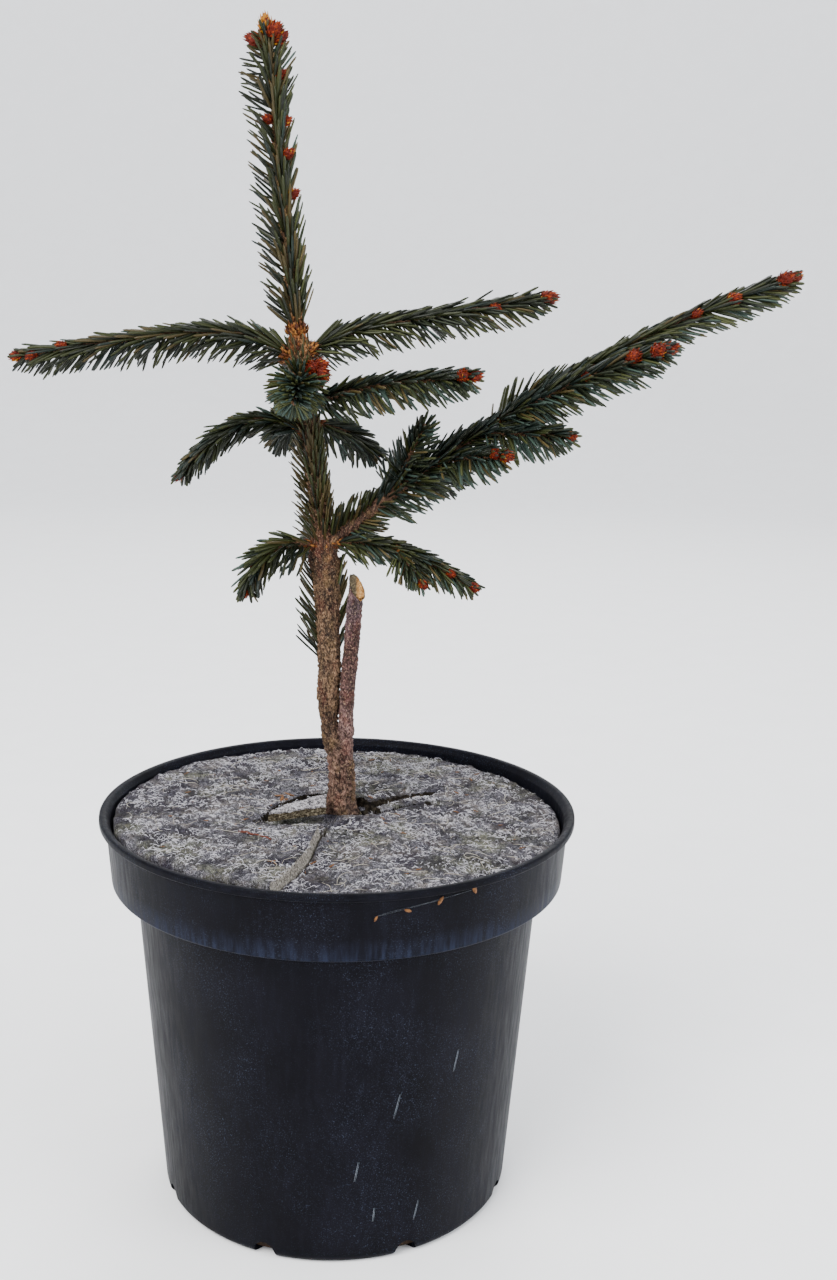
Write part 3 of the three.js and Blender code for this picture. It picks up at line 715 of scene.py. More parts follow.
def lay_fibres(name, count, seed, spans, radius, code, gather=0):
    """Lays fibres; gather is 1 for those that keep to the clouds and -1 for those between them"""
    joints = len(fibre_taper)
    draw = np.random.default_rng(seed)
    paths = []
    while len(paths) < count:
        out, turn = fibre_zone["start"] * math.sqrt(draw.uniform(0.012, 1)), draw.uniform(0, 2 * math.pi)
        x, y = out * math.cos(turn), out * math.sin(turn)
        if np.hypot(x - trunk_foot[0], y - trunk_foot[1]) < fibre_zone["trunk"]:
            continue
        cloud = noise.noise(Vector((x / 16, y / 16, 21))) + 0.7 * noise.noise(Vector((x / 5, y / 5, 22)))
        if gather and cloud * gather < draw.uniform(-0.35, 0.35):
            continue
        heading, bend = draw.uniform(0, 2 * math.pi), draw.normal(0, 0.35)
        stride = draw.uniform(*spans) / (joints - 1)
        path, loft = [], draw.uniform(0.1, 0.8)
        for joint in range(joints):
            arch = math.sin(math.pi * joint / (joints - 1)) * loft + radius * 0.6
            path.append((x, y, on_felt(x, y) + arch))
            x, y = x + stride * math.cos(heading), y + stride * math.sin(heading)
            heading += bend + draw.normal(0, 0.25)
        steepest = max(abs(after[2] - before[2]) for before, after in zip(path, path[1:]))
        furthest = max(math.hypot(px, py) for px, py, _ in path)
        if steepest < stride * 0.5 + 0.3 and furthest < fibre_zone["limit"]:
            paths.append(path)
    thickness = draw.uniform(0.7, 1.3, (count, 1)) * radius * fibre_taper
    piece = make_piece(name, *strands(np.array(paths), thickness), [fibre_finish(name + "_finish", code)])


lay_fibres("felt_fibres_white", 5200, 11, (0.8, 3.8), 0.095, "d6d4da", gather=1)
lay_fibres("felt_fibres_straw", 180, 12, (5, 16), 0.12, "b3ac9c")
lay_fibres("felt_fibres_dark", 2400, 13, (0.8, 2.8), 0.15, "17161b", gather=-1)

# %% [markdown]
# ## Stems
# Everything that grows here grows along a stem: a line that leaves its root in one plan direction while its
# rise turns from a first angle to a last. The CAD used the same rule, so the fine twigs stay within the
# coarse ones. A stem keeps its points, its directions and two side vectors at every half millimetre.

# %% Stems
STEP = 0.5
# Height and lean to the side, as measured along the trunk
trunk_bend = np.array([
    (166, 1.9), (192, 1.2), (212, 0.2), (221, -3.6), (232, -5), (256, -5.1), (276, -5.7), (290, -6.5),
    (306, -7.8), (340, -12), (400, -19.6), (463, -26.8), (531, -33.2), (538, -34.2),
])
trunk_plane, trunk_top, soil_line = 12.0, 537, 178.0


def new_stem(points, azimuth):
    points = np.asarray(points, float)
    tangent = unit(np.gradient(points, axis=0))
    ahead, aside, _ = level_way(azimuth)
    side = np.tile([-aside, ahead, 0], (len(points), 1))
    lengths = np.linalg.norm(np.diff(points, axis=0), axis=1)
    along = np.concatenate([[0], np.cumsum(lengths)])
    return {"point": points, "tangent": tangent, "side": side, "under": np.cross(side, tangent), "along": along}


def at(stem, distance, what="point"):
    """A stem's points or directions at some distances along it"""
    return np.stack([np.interp(distance, stem["along"], stem[what][:, axis]) for axis in range(3)], -1)


def directions(stem, distance):
    """A stem's direction and its two side vectors"""
    return [at(stem, distance, what) for what in ("tangent", "side", "under")]


def outward_at(side, under, turn):
    """Directions that stand out from a stem, by their turn round it"""
    return side * np.cos(turn)[:, None] + under * np.sin(turn)[:, None]


def eased(height):
    """How far the trunk leans at a height: a smooth line through the measured places"""
    heights, leans = trunk_bend[:, 0], trunk_bend[:, 1]
    slopes = np.gradient(leans, heights)
    i = np.clip(np.searchsorted(heights, height) - 1, 0, len(heights) - 2)
    span = heights[i + 1] - heights[i]
    t = (height - heights[i]) / span
    start = leans[i] * (2 * t**3 - 3 * t**2 + 1) + slopes[i] * span * (t**3 - 2 * t**2 + t)
    return start + leans[i + 1] * (3 * t**2 - 2 * t**3) + slopes[i + 1] * span * (t**3 - t**2)


trunk_heights = np.arange(trunk_bend[0, 0], trunk_bend[-1, 0] + STEP, STEP)
trunk = new_stem([(eased(h), trunk_plane, h) for h in trunk_heights], 180)


def trunk_distance(height):
    return float(np.interp(height, trunk["point"][:, 2], trunk["along"]))


def grow_stem(root, azimuth, length, rise_start, rise_end, curl=1.0):
    """A stem whose rise turns from its first angle to its last; a larger curl turns it earlier"""
    count = max(8, int(length / STEP))
    share = (np.arange(count) + 0.5) / count
    angle = np.radians(rise_end + (rise_start - rise_end) * (1 - share) ** curl)
    flat, steep = np.cos(angle)[:, None], np.sin(angle)[:, None]
    moves = (flat * level_way(azimuth) + steep * np.array([0, 0, 1])) * (length / count)
    return new_stem(np.concatenate([[root], root + np.cumsum(moves, axis=0)]), azimuth)


print("trunk length:", round(float(trunk["along"][-1]), 1), "mm")

# %% [markdown]
# ## Bark
# Young spruce bark is thin and scaly, tan where it is fresh and greyer with age; the rootstock below the
# graft is redder. A displace modifier with a texture would roughen it evenly, but real bark splits along the
# trunk, so the relief comes from cells stretched upwards, with cracks between them, and from soft swellings
# where boughs leave. The same numbers that raise the relief also paint shade into the cracks, through a
# colour layer on the mesh. The finish adds what is smaller or larger than a plate: flecks, the dark ones
# partly painted shade in the hollows and the pale ones partly painted highlight on the tops, and golden and
# reddish patches.

# %% The trunk's taper and swellings
taper = {"low_height": 240, "low_radius": 5.4, "top_radius": 1.5}
root_flare = {"swell": 2.6, "fade": 7}
rootstock = {"top": 217, "blend": 6, "swell": 0.35}
# Height, swelling, and how far it spreads below and above
trunk_knots = [(227, -1.1, 7, 9), (309, 2.4, 24, 8), (372, 1, 8, 6), (402, 1.6, 10, 5)]


def trunk_radius(height):
    share = (height - taper["low_height"]) / (trunk_top - taper["low_height"])
    radius = taper["low_radius"] + (taper["top_radius"] - taper["low_radius"]) * share
    radius += root_flare["swell"] * math.exp(-max(0, height - soil_line) / root_flare["fade"])
    t = clamped((height - rootstock["top"] + rootstock["blend"]) / (2 * rootstock["blend"]))
    radius += rootstock["swell"] * (1 - t * t * (3 - 2 * t))
    for middle, swell, below, above in trunk_knots:
        radius += swell * math.exp(-(((height - middle) / (below if height < middle else above)) ** 2))
    return radius


print("trunk radius at soil and top:", [round(trunk_radius(h), 1) for h in (soil_line, trunk_top)], "mm")

# %% Bark relief and colour
# Without a seed noise_vector gives other bark at each run, and the bark has to be the same every time
noise.seed_set(5)


def bark_cells(x, y, z, cell, stretch):
    """How high a place lies: 0 in the crack between two plates, 1 on a plate"""
    place = Vector((x / cell, y / cell, z / (cell * stretch)))
    near, far = noise.voronoi(place + noise.noise_vector(place * 1.3) * 0.55)[0][:2]
    return min(1, (far - near) * 3.0)


def bark_finish(name, gold):
    """The colours of the mesh's own layer, which hold painted crack shade, with flecks that are partly painted
    shade and highlight, golden patches and reddish patches over them
    """
    finish = new_finish(name, 0.85, 0.25)
    layer = add(finish, "ShaderNodeVertexColor", layer_name="bark_colour_and_crack_shade").outputs["Color"]
    flecks_shade_and_highlight = grain(finish, 0.55, (1, 1, 2), detail=5, rough=0.75)
    patches = grain(finish, 7, (1, 1, 1.6), detail=4, rough=0.6)
    glazes = [
        (patches, 0.36, 0.47, (gold, 0), "876a40"),
        (patches, 0.52, 0.64, (0, 0.42), "5a2c22"),
        # Dark flecks sit in the relief's hollows and pale ones on its tops: partly bark tone, partly painted
        # shade and highlight
        (flecks_shade_and_highlight, 0.41, 0.51, (0.88, 0), "150d09"),
        (flecks_shade_and_highlight, 0.56, 0.68, (0, 0.8), "b69a7c"),
    ]
    return wear(finish, glazed(finish, layer, glazes), flecks_shade_and_highlight, 0.5, 1.0)


def limb_skin(name, stem, start, end, radius_at, tone_at, sides, step, cell, stretch, relief, gold=0.28):
    """A limb's skin with plates and cracks, and its colours, painted shade in the cracks included, as a layer on
    the mesh
    """
    rings = max(2, int((end - start) / step))
    distances = np.linspace(start, end, rings + 1)
    centre, (_, side, under) = at(stem, distances), directions(stem, distances)
    points, colours = [], []
    for i in range(rings + 1):
        radius = radius_at(distances[i])
        for k in range(sides):
            angle = 2 * math.pi * k / sides
            outward = side[i] * math.cos(angle) + under[i] * math.sin(angle)
            x, y, z = centre[i] + outward * radius
            plate = bark_cells(x, y, z, cell, stretch)
            soft = noise.noise(Vector((x * 0.22, y * 0.22, z * 0.1)))
            fine = noise.noise(Vector((x * 1.6, y * 1.6, z * 0.7)))
            lift = relief * ((plate - 1) * 0.9 + soft * 0.8 + fine * 0.7 + 0.3)
            points.append(centre[i] + outward * (radius + lift))
            # Plates take the plate colour and cracks the dark crack colour: painted shade in the cracks, mixed
            # with random tone
            shade = clamped(0.03 + 0.68 * plate + 0.45 * soft + 0.95 * fine)
            light, dark = tone_at(centre[i][2], soft + fine * 0.5)
            colours.append([light[c] * shade + dark[c] * (1 - shade) for c in range(3)] + [1.0])
    faces = []
    for i in range(rings):
        for k in range(sides):
            n = (k + 1) % sides
            faces.append([i * sides + k, i * sides + n, (i + 1) * sides + n, (i + 1) * sides + k])
    faces.append(list(range(sides))[::-1])
    faces.append([rings * sides + k for k in range(sides)])
    piece = make_piece(name, points, faces, [bark_finish(name + "_finish", gold)])
    colour_layer = piece.data.color_attributes.new("bark_colour_and_crack_shade", "FLOAT_COLOR", "POINT")
    colour_layer.data.foreach_set("color", np.array(colours, dtype=np.float32).ravel())
    return piece


def tones_by_height(stops):
    """Plate colours and the painted shade of the cracks at a height, from (height, plate, crack shade) stops"""
    heights = [stop[0] for stop in stops]
    plates = np.array([paint(stop[1])[:3] for stop in stops])
    crack_shades = np.array([paint(stop[2])[:3] for stop in stops])

    def tone_at(height, sway):
        at_height = height + sway * 5
        plate = [float(np.interp(at_height, heights, plates[:, c])) * (1 + 0.25 * sway) for c in range(3)]
        crack = [float(np.interp(at_height, heights, crack_shades[:, c])) for c in range(3)]
        return plate, crack

    return tone_at


trunk_tones = tones_by_height([
    (178, "4f3f37", "150d0a"), (192, "7c5e50", "1c110d"), (212, "88685a", "1f130f"), (219, "4c382e", "140c09"),
    (227, "745842", "1d130d"), (262, "81644b", "20150f"), (296, "775b42", "1d120c"), (309, "5b3524", "150906"),
    (316, "5f3b28", "1c110b"), (352, "5e4c3a", "211810"), (396, "6d5036", "281a10"), (411, "a4602c", "40200f"),
    (420, "6d5434", "2b1f12"), (540, "6e5c38", "2e2413"),
])
trunk_skin = limb_skin(
    "trunk_bark", trunk, trunk_distance(soil_line + 0.3), trunk_distance(trunk_top),
    lambda d: trunk_radius(float(at(trunk, d)[2])), trunk_tones, 64, 0.6, 1.8, 2.4, 1.05,
)
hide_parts("trunk")

# %% [markdown]
# ### The bough's foot and the sawn stub
# The long bough starts bare, with pinkish-tan bark. Beside the trunk stands what is left of a shoot of the
# rootstock: reddish-violet bark in rings, sawn off on a slant, with the pale wood showing. The stub is a
# tube whose last rings are pushed on to the saw's plane, so the cut is flat and keeps its rim.

# %% The bough's foot
bough_bare = 36


def bough_radius(distance):
    return 3.3 - 0.6 * np.asarray(distance) / bough_bare


bough = grow_stem(at(trunk, trunk_distance(310.4)), -14, 100, 42, 34)
bough_tones = tones_by_height([(300, "5f3a28", "1c0f0a"), (322, "6b4a3b", "20130c"), (345, "553c2e", "1c110b")])
bough_skin = limb_skin("bough_bark", bough, 0, bough_bare, bough_radius, bough_tones, 44, 0.5, 1.9, 2.0, 0.6)
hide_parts("right_bough")

# %% The sawn stub
# Height and distance to the right of the shoot's middle, before it was sawn
stub_length = 97
stub_line = np.array([(206, 2.6), (232, 3.2), (246, 3.8), (266, 5.4), (290, 7.2), (306, 7.9)])
stub_heights = np.arange(206, 306, STEP)
stub = new_stem([(np.interp(h, stub_line[:, 0], stub_line[:, 1]), 9.5, h) for h in stub_heights], 0)
saw_middle, saw_facing = np.array([7.1, 9.5, 293.7]), np.array([0.97, -1.16, 1.0])
stub_tones = tones_by_height([
    (206, "6e5148", "261613"), (232, "7b605c", "2c1a17"), (250, "70504c", "281816"), (264, "52332f", "1e100e"),
    (275, "5e4344", "241616"), (284, "705c62", "2a1e20"), (300, "5c4a4c", "221718"),
])


def saw_height(x, y):
    """Height of the saw's plane over a place"""
    from_middle = saw_facing[0] * (x - saw_middle[0]) + saw_facing[1] * (y - saw_middle[1])
    return saw_middle[2] - from_middle / saw_facing[2]


def stub_radius(distance):
    wrinkle = 0.2 * ripple(distance, 0, 0.9, 1) + 0.15 * noise.noise(Vector((distance * 0.3, 4, 1)))
    burr = 0.8 * math.exp(-(((distance - 17) / 2.2) ** 2))
    return 3.65 + wrinkle + burr


stub_skin = limb_skin("stub_bark", stub, 0, stub_length, stub_radius, stub_tones, 44, 0.5, 2.6, 0.6, 0.5, gold=0)
mesh = stub_skin.data
for vertex in mesh.vertices:
    x, y, z = vertex.co / MM
    vertex.co.z = min(z, saw_height(x, y)) * MM
sawn = new_finish("sawn_wood", 0.8, 0.25)
rings = grain(sawn, 0.9, (1, 3, 1), detail=3, rough=0.6)
weathered = tones(sawn, rings, [(0.3, "1e1a12"), (0.5, "473d2c"), (0.7, "70644a")])
fresh = tones(sawn, rings, [(0.3, "6a4422"), (0.5, "a4753e"), (0.7, "cda468")])
sideways = add(sawn, "ShaderNodeSeparateXYZ", {"Vector": place_of(sawn)}).outputs["X"]
wear(sawn, blend_tones(sawn, between(sawn, sideways, 7.0, 8.4), weathered, fresh), rings, 0.4, 0.9)
mesh.materials.append(sawn)
for face in mesh.polygons:
    spots = [mesh.vertices[v].co / MM for v in face.vertices]
    if min(z - saw_height(x, y) for x, y, z in spots) > -0.02:
        face.material_index = 1
        face.use_smooth = False
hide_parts("rootstock_stub")
print("stub sawn at", saw_middle[2], "mm")

# %% [markdown]
# ## The crown's plan
# Each spray is listed as the CAD has it: where its shoot leaves the trunk or the bough, its plan direction,
# its length, how its rise turns, and its buds as (distance from the tip, turn round the shoot, length).
# A sleeve is a stretch of trunk or bough that carries needles itself.
#
# A random generator could grow a tree, but not this one, so a list is better. Where a shoot differs from the
# common rule, its entry says how: its needles' tilts above and below, the pitch from one needle to the next,
# their length (needle) and width (slim), and the shares of the four kinds. bushy_foot spreads the needles
# near the foot, front and leftward turn those of the leader, tip_open parts them round its top buds, and
# bare_front leaves the front of a limb open, so that its bark shows. bud_lean is how far side buds stand off.

# %% The crown's plan
crown = {
    "leader_spray": [
        dict(sleeve=(412, 537), tilts=(26, 34), leftward=26, front=14, pitch=0.34, needle=14.5, slim=1.05,
             tip_open=24, bud_lean=66, buds=[
                 (-5, 0, 9), (4, 95, 9), (4.5, 283, 8.5), (1.5, 318, 8.5), (4, 170, 6), (19, 300, 6),
                 (37, 50, 5.5), (38, 285, 5.5), (52, 300, 6), (69, 280, 6), (46, 170, 5.5), (80, 200, 5.5)])],
    "upper_trunk_spray": [
        dict(sleeve=(315, 372), tilts=(22, 34), pitch=0.2, needle=10, slim=0.75, kinds=(0.15, 0, 0.4, 0.45)),
        dict(sleeve=(374, 406), tilts=(8, 20), pitch=0.4, needle=11, slim=0.7, kinds=(0.1, 0, 0.4, 0.5))],
    "lower_trunk_spray": [dict(sleeve=(256, 304), tilts=(26, 34), pitch=0.3, needle=14.5, bare_front=0.45)],
    "bough_foot_spray": [dict(bough_sleeve=(8, 35), tilts=(40, 50), pitch=0.17, needle=14, slim=0.95,
                              bare_front=0.85)],
    "top_left_spray": [dict(height=394.4, azimuth=168, length=140, rise=(52, -9.5), curl=4.8,
                            buds=[(-4, 0, 7), (9, 20, 6), (24, 330, 5.5)])],
    "top_right_spray": [dict(height=398.2, azimuth=18, length=126, rise=(41, 8.4), curl=5.5,
                             buds=[(-4, 0, 9), (2, 200, 7), (29, 170, 5.5)])],
    "mid_right_spray": [dict(height=376, azimuth=-35, length=89, rise=(26, 5), curl=2.2,
                             buds=[(-4, 0, 7), (4, 190, 7)])],
    "mid_left_spray": [dict(height=362.7, azimuth=200, length=72, rise=(46, -51.5), curl=1.6, tilts=(8, 45),
                            bushy_foot=(4, 0, 0.5), pitch=0.27, needle=13, slim=0.87, buds=[(-2, 0, 4.5)])],
    "mid_short_spray": [dict(height=368, azimuth=40, length=46, rise=(12, -31), curl=2.5, buds=[(-2, 0, 4.5)])],
    "low_left_spray": [dict(height=310, azimuth=212, length=52, rise=(31, -86), curl=0.8, bushy_foot=(24, 0, 0.5),
                            buds=[(-2, 0, 4.5), (14, 180, 4)])],
    "low_right_spray": [
        dict(height=312, azimuth=-28, length=79, rise=(21, -25), curl=1.8, bushy_foot=(12, 0, 0.4),
             tilts=(8, 44), pitch=0.27, needle=13.4, slim=0.87, buds=[(-3, 0, 5.5), (12, 200, 5)]),
        dict(fork=38, azimuth=-60, length=26, rise=(-20, -34), tilts=(8, 44), pitch=0.27, needle=13, slim=0.87,
             buds=[(-3, 0, 5.5)])],
    "bough_spray": [
        dict(along_bough=(33.3, 100), bushy_foot=(24, 26, 0.8), pitch=0.25),
        dict(bough=46, azimuth=-52, length=36, rise=(68, 52), bushy_foot=(30, 30, 0.7)),
        dict(bough=40, azimuth=74, length=26, rise=(44, 30)),
        dict(bough=68, azimuth=-46, length=40, rise=(14, 3), buds=[(-4, 0, 7), (4, 200, 6)]),
        dict(bough=50, azimuth=40, length=36, rise=(12, 0), buds=[(-3, 0, 5)])],
    "bough_tip_spray": [dict(bough=100, azimuth=-6, length=143, rise=(35, 19.6), tilts=(7, 48), pitch=0.28,
                             bushy_foot=(25, 50, 0.22), kinds=(0.3, 0.15, 0.5, 0.05),
                             buds=[(-4, 0, 7), (5, 190, 8.5), (28, 185, 7), (45, 190, 6)])],
    "bough_front_spray": [dict(bough=99, azimuth=-25, length=85, rise=(31, 18), bushy_foot=(20, 6, 0.8),
                               pitch=0.25, buds=[(-4, 0, 7), (5, 185, 8.5), (16, 200, 8), (38, 190, 5)])],
    "bough_side_spray": [dict(bough=93, azimuth=-36, length=44, rise=(2, 0), bushy_foot=(24, 10, 0.9),
                              buds=[(-3, 0, 5.5)])],
    "bough_back_spray": [dict(bough=97, azimuth=50, length=48, rise=(20, 10), buds=[(-4, 0, 6.5), (6, 20, 6)])],
    "top_front_spray": [dict(height=388, azimuth=-95, length=36, rise=(12, -40), pitch=0.1, tilts=(34, 74),
                             needle=15.5, slim=0.85, kinds=(0.05, 0.5, 0.4, 0.05))],
    "bud_spur": [dict(height=397, azimuth=-52, length=14.5, rise=(-4, -26), bare=True,
                      buds=[(-3, 0, 9), (2.5, 90, 9), (3.5, 200, 8), (5, -30, 7)])],
    "top_back_spray": [dict(height=391, azimuth=92, length=72, rise=(30, -6), curl=2,
                            buds=[(-4, 0, 7), (8, 30, 6)])],
    "mid_back_spray": [dict(height=369, azimuth=112, length=48, rise=(14, -28), curl=2, buds=[(-3, 0, 5)])],
    "low_back_spray": [dict(height=311, azimuth=96, length=62, rise=(18, -24), curl=1.6, buds=[(-3, 0, 5.5)])],
}
whorls = {
    "trunk": ["leader_spray", "upper_trunk_spray", "lower_trunk_spray", "bough_foot_spray"],
    "top": ["top_left_spray", "top_right_spray", "top_front_spray", "top_back_spray", "bud_spur"],
    "middle": ["mid_left_spray", "mid_right_spray", "mid_short_spray", "mid_back_spray"],
    "low": ["low_left_spray", "low_right_spray", "low_back_spray"],
    "bough": ["bough_spray", "bough_tip_spray", "bough_front_spray", "bough_side_spray", "bough_back_spray"],
}
twig = {"root": 1.45, "tip": 0.95, "bare_foot": 3.0}
print("sprays:", len(crown), "on whorls:", len(whorls))

# %% [markdown]
# ### From the plan to stems and buds
# On the real tree the shoots come first and the needles and buds stand on them. The same order helps here:
# each entry of the plan becomes a stem with a radius and a stretch for needles, and then every bud gets its
# foot, its direction and its length. Side buds below the tip are also kept in a list of their own, because
# needles grow round them and not through them.


# %% Stems and buds of the crown
def twig_radius(length):
    return lambda d: twig["root"] + (twig["tip"] - twig["root"]) * np.clip(d / length, 0, 1)


trunk_radii = np.array([trunk_radius(h) for h in trunk["point"][:, 2]])


def radius_on_trunk(distance):
    return np.interp(distance, trunk["along"], trunk_radii)


def plan_shoot(shoot, first):
    """The shoot's stem with its radius, and the stretch of it that carries needles"""
    if "sleeve" in shoot:
        low, high = (trunk_distance(h) for h in shoot["sleeve"])
        return dict(stem=trunk, radius=radius_on_trunk, low=low, high=high, sleeve=True)
    if "bough_sleeve" in shoot:
        low, high = shoot["bough_sleeve"]
        return dict(stem=bough, radius=bough_radius, low=low, high=high, sleeve=True)
    if "along_bough" in shoot:
        low, high = shoot["along_bough"]

        def narrowing(distance):
            return 2.5 - 0.7 * (np.asarray(distance) - low) / (high - low)

        return dict(stem=bough, radius=narrowing, low=low, high=high, sleeve=False)
    if "height" in shoot:
        root = at(trunk, trunk_distance(shoot["height"]))
        bare = trunk_radius(shoot["height"]) + 1.5
    elif "bough" in shoot:
        root, bare = at(bough, shoot["bough"]), twig["bare_foot"]
    else:
        root, bare = at(first["stem"], shoot["fork"]), twig["bare_foot"]
    stem = grow_stem(root, shoot["azimuth"], shoot["length"], *shoot["rise"], shoot.get("curl", 1))
    high = float(stem["along"][-1])
    return dict(stem=stem, radius=twig_radius(shoot["length"]), low=bare, high=high, sleeve=False)


plans = {}
for name, shoots in crown.items():
    planned = []
    for shoot in shoots:
        planned.append({**plan_shoot(shoot, planned[0] if planned else None), "shoot": shoot})
    plans[name] = planned
bud_places, side_buds = [], []
for name, planned in plans.items():
    for plan in planned:
        for from_tip, turn, length in plan["shoot"].get("buds", []):
            along = plan["high"] - max(from_tip, 0)
            tangent, side, under = directions(plan["stem"], along)
            outward = side * math.cos(math.radians(turn)) + under * math.sin(math.radians(turn))
            spot = at(plan["stem"], along)
            if from_tip < 0:
                bud_places.append((spot - tangent, tangent, length))
            else:
                lean = math.radians(plan["shoot"].get("bud_lean", 40))
                direction = tangent * math.cos(lean) + outward * math.sin(lean)
                bud_places.append((spot + outward * (float(plan["radius"](along)) + 0.3), direction, length))
                side_buds += bud_places[-1:] if from_tip > 8 or name == "bud_spur" else []
print("shoots:", sum(len(p) for p in plans.values()), "buds:", len(bud_places))

# %% [markdown]
# ## Needles
# A spruce needle is four-sided, about fifteen millimetres long and one and a half wide, sharp and bowed. It
# stands on a tiny peg of bark. On a level shoot the needles above lie forward along it and those below hang
# out wider, which gives the shoots their smooth back and their fringe. Each needle's turn round the shoot
# follows the golden angle. The two lower faces carry the pale wax bands, so they get a bluer green.
# A particle system could place them, but it doesn't see the other limbs. Here the outer part of each
# needle is tried against them, and all but its foot against the side buds. One without room is left out.

# %% Needle finishes
def needle_finish(name, code, roughness):
    finish = new_finish(name, roughness, 0.22)
    finish.node_tree.nodes["Principled BSDF"].inputs["Base Color"].default_value = paint(code)
    waxy = grain(finish, 1.3, detail=3)
    sheen = between(finish, waxy, 0.3, 0.7, (roughness - 0.08, roughness + 0.12))
    return wear(finish, height=waxy, depth=0.08, strength=0.5, roughness=sheen)


green_sets = {
    "deep": ("13170b", "262d1b"),
    "blue": ("131c17", "33423a"),
    "olive": ("23270e", "393d1f"),
    "worn": ("352d15", "4a4024"),
}
needle_finishes = []
for name, (upper_code, lower_code) in green_sets.items():
    needle_finishes.append(needle_finish("needle_" + name, upper_code, 0.42))
    needle_finishes.append(needle_finish("needle_" + name + "_wax", lower_code, 0.5))
print("needle finishes:", len(needle_finishes))

# %% Placing needles
GOLDEN = math.radians(137.508)
needle = {
    "length": 15.2, "width": 1.52, "thick": 1.2, "pitch": 0.33, "tilt": (10, 51), "crowding": 0.28,
    "tilt_scatter": 4, "length_scatter": 0.2, "tip_short": 0.5, "tip_zone": 20, "bare_tip": 1.5,
    "open_zone": 48, "open_ease": 30,
}
needle_profile = [(0.0, 0.55), (0.1, 0.95), (0.5, 1.0), (0.88, 0.92), (0.97, 0.55)]
# The balls that stand for every limb and side bud when a needle looks for free room
limb_cloud = []
for name, planned in plans.items():
    for plan in planned:
        marks = np.arange(0 if plan["sleeve"] else plan["low"], plan["high"], 1.5)
        limb_cloud.append((name, at(plan["stem"], marks), plan["radius"](marks)))
for name, stem, length, radius in (("stub", stub, stub_length, 3.75), ("bough", bough, bough_bare, 3.0)):
    marks = np.arange(0, length, 1.5)
    limb_cloud.append((name, at(stem, marks), np.full(len(marks), radius)))
bud_middles = np.array([foot + direction * length * 0.5 for foot, direction, length in side_buds])
limb_cloud.append(("buds", bud_middles, np.array([length * 0.36 for _, _, length in side_buds])))


along_trunk = ("leader_spray", "upper_trunk_spray", "lower_trunk_spray", "bough")


def clear_of_limbs(owner, foot, tip, sleeve):
    """Which needles keep clear of every other limb"""
    free = np.ones(len(foot), bool)
    samples = np.stack([foot + (tip - foot) * share for share in (0.15, 0.35, 0.55, 0.8, 1.0)], 1)
    for name, points, radii in limb_cloud:
        if name == owner or (sleeve and name in along_trunk):
            continue
        skip = 0 if name == "buds" else 1
        gaps = np.linalg.norm(samples[:, skip:, None] - points[None, None], axis=-1) - radii[None, None] - 0.55
        free &= gaps.min(axis=(1, 2)) > 0
    return free


def place_needles(owner, plan, draw, shares):
    """Foot, heading, length, lean, outward side, slimness and kind of each needle on one shoot"""
    shoot, stem = plan["shoot"], plan["stem"]
    pitch = shoot.get("pitch", needle["pitch"])
    along = np.arange(plan["low"], plan["high"] - needle["bare_tip"], pitch)
    turn = np.arange(len(along)) * GOLDEN + draw.uniform(0, 0.5, len(along))
    if not plan["sleeve"]:
        turn = turn + needle["crowding"] * np.cos(turn)
    tangent, side, under = directions(stem, along)
    outward = outward_at(side, under, turn)
    hanging = (np.einsum("ij,ij->i", outward, under) + 1) / 2
    low_tilt, high_tilt = shoot.get("tilts", needle["tilt"])
    tilt = low_tilt + (high_tilt - low_tilt) * hanging + draw.normal(0, needle["tilt_scatter"], len(along))
    upward = (along - plan["low"]) / (plan["high"] - plan["low"])
    below, above, share = shoot.get("bushy_foot", (16, 2, 0.9))
    tilt += np.clip(1 - upward / share, 0, 1) * (below * hanging + above * (1 - hanging))
    tilt -= shoot.get("front", 0) * np.clip(-outward[:, 1], 0, 1)
    opened = np.clip((along - plan["high"] + needle["open_zone"]) / needle["open_ease"], 0, 1)
    tilt += shoot.get("tip_open", 0) * opened * np.abs(outward[:, 0])
    tilt = np.radians(tilt + shoot.get("leftward", 0) * np.clip(-outward[:, 0], 0, 1) * (0.35 + 0.65 * upward))
    heading = unit(outward_at(tangent, outward, tilt) + draw.normal(0, 0.03, (len(along), 3)))
    near_tip = np.clip((along - plan["high"] + needle["tip_zone"]) / needle["tip_zone"], 0, 1)
    length = shoot.get("needle", needle["length"]) * (1 - needle["tip_short"] * near_tip)
    length = length * (1 + draw.uniform(-0.5, 0.5, len(along)) * needle["length_scatter"])
    foot = at(stem, along) + outward * (plan["radius"](along) - 0.15)[:, None]
    free = clear_of_limbs(owner, foot, foot + heading * length[:, None], plan["sleeve"])
    free &= outward[:, 1] > -shoot.get("bare_front", 2)
    lean = unit(tangent - heading * np.einsum("ij,ij->i", tangent, heading)[:, None])
    slim = np.full(len(along), shoot.get("slim", 1.0))
    kind = draw.choice(4, len(along), p=shoot.get("kinds", shares))
    return foot[free], heading[free], length[free], lean[free], outward[free], slim[free], kind[free]


print("limbs and buds that needles keep clear of:", len(limb_cloud))

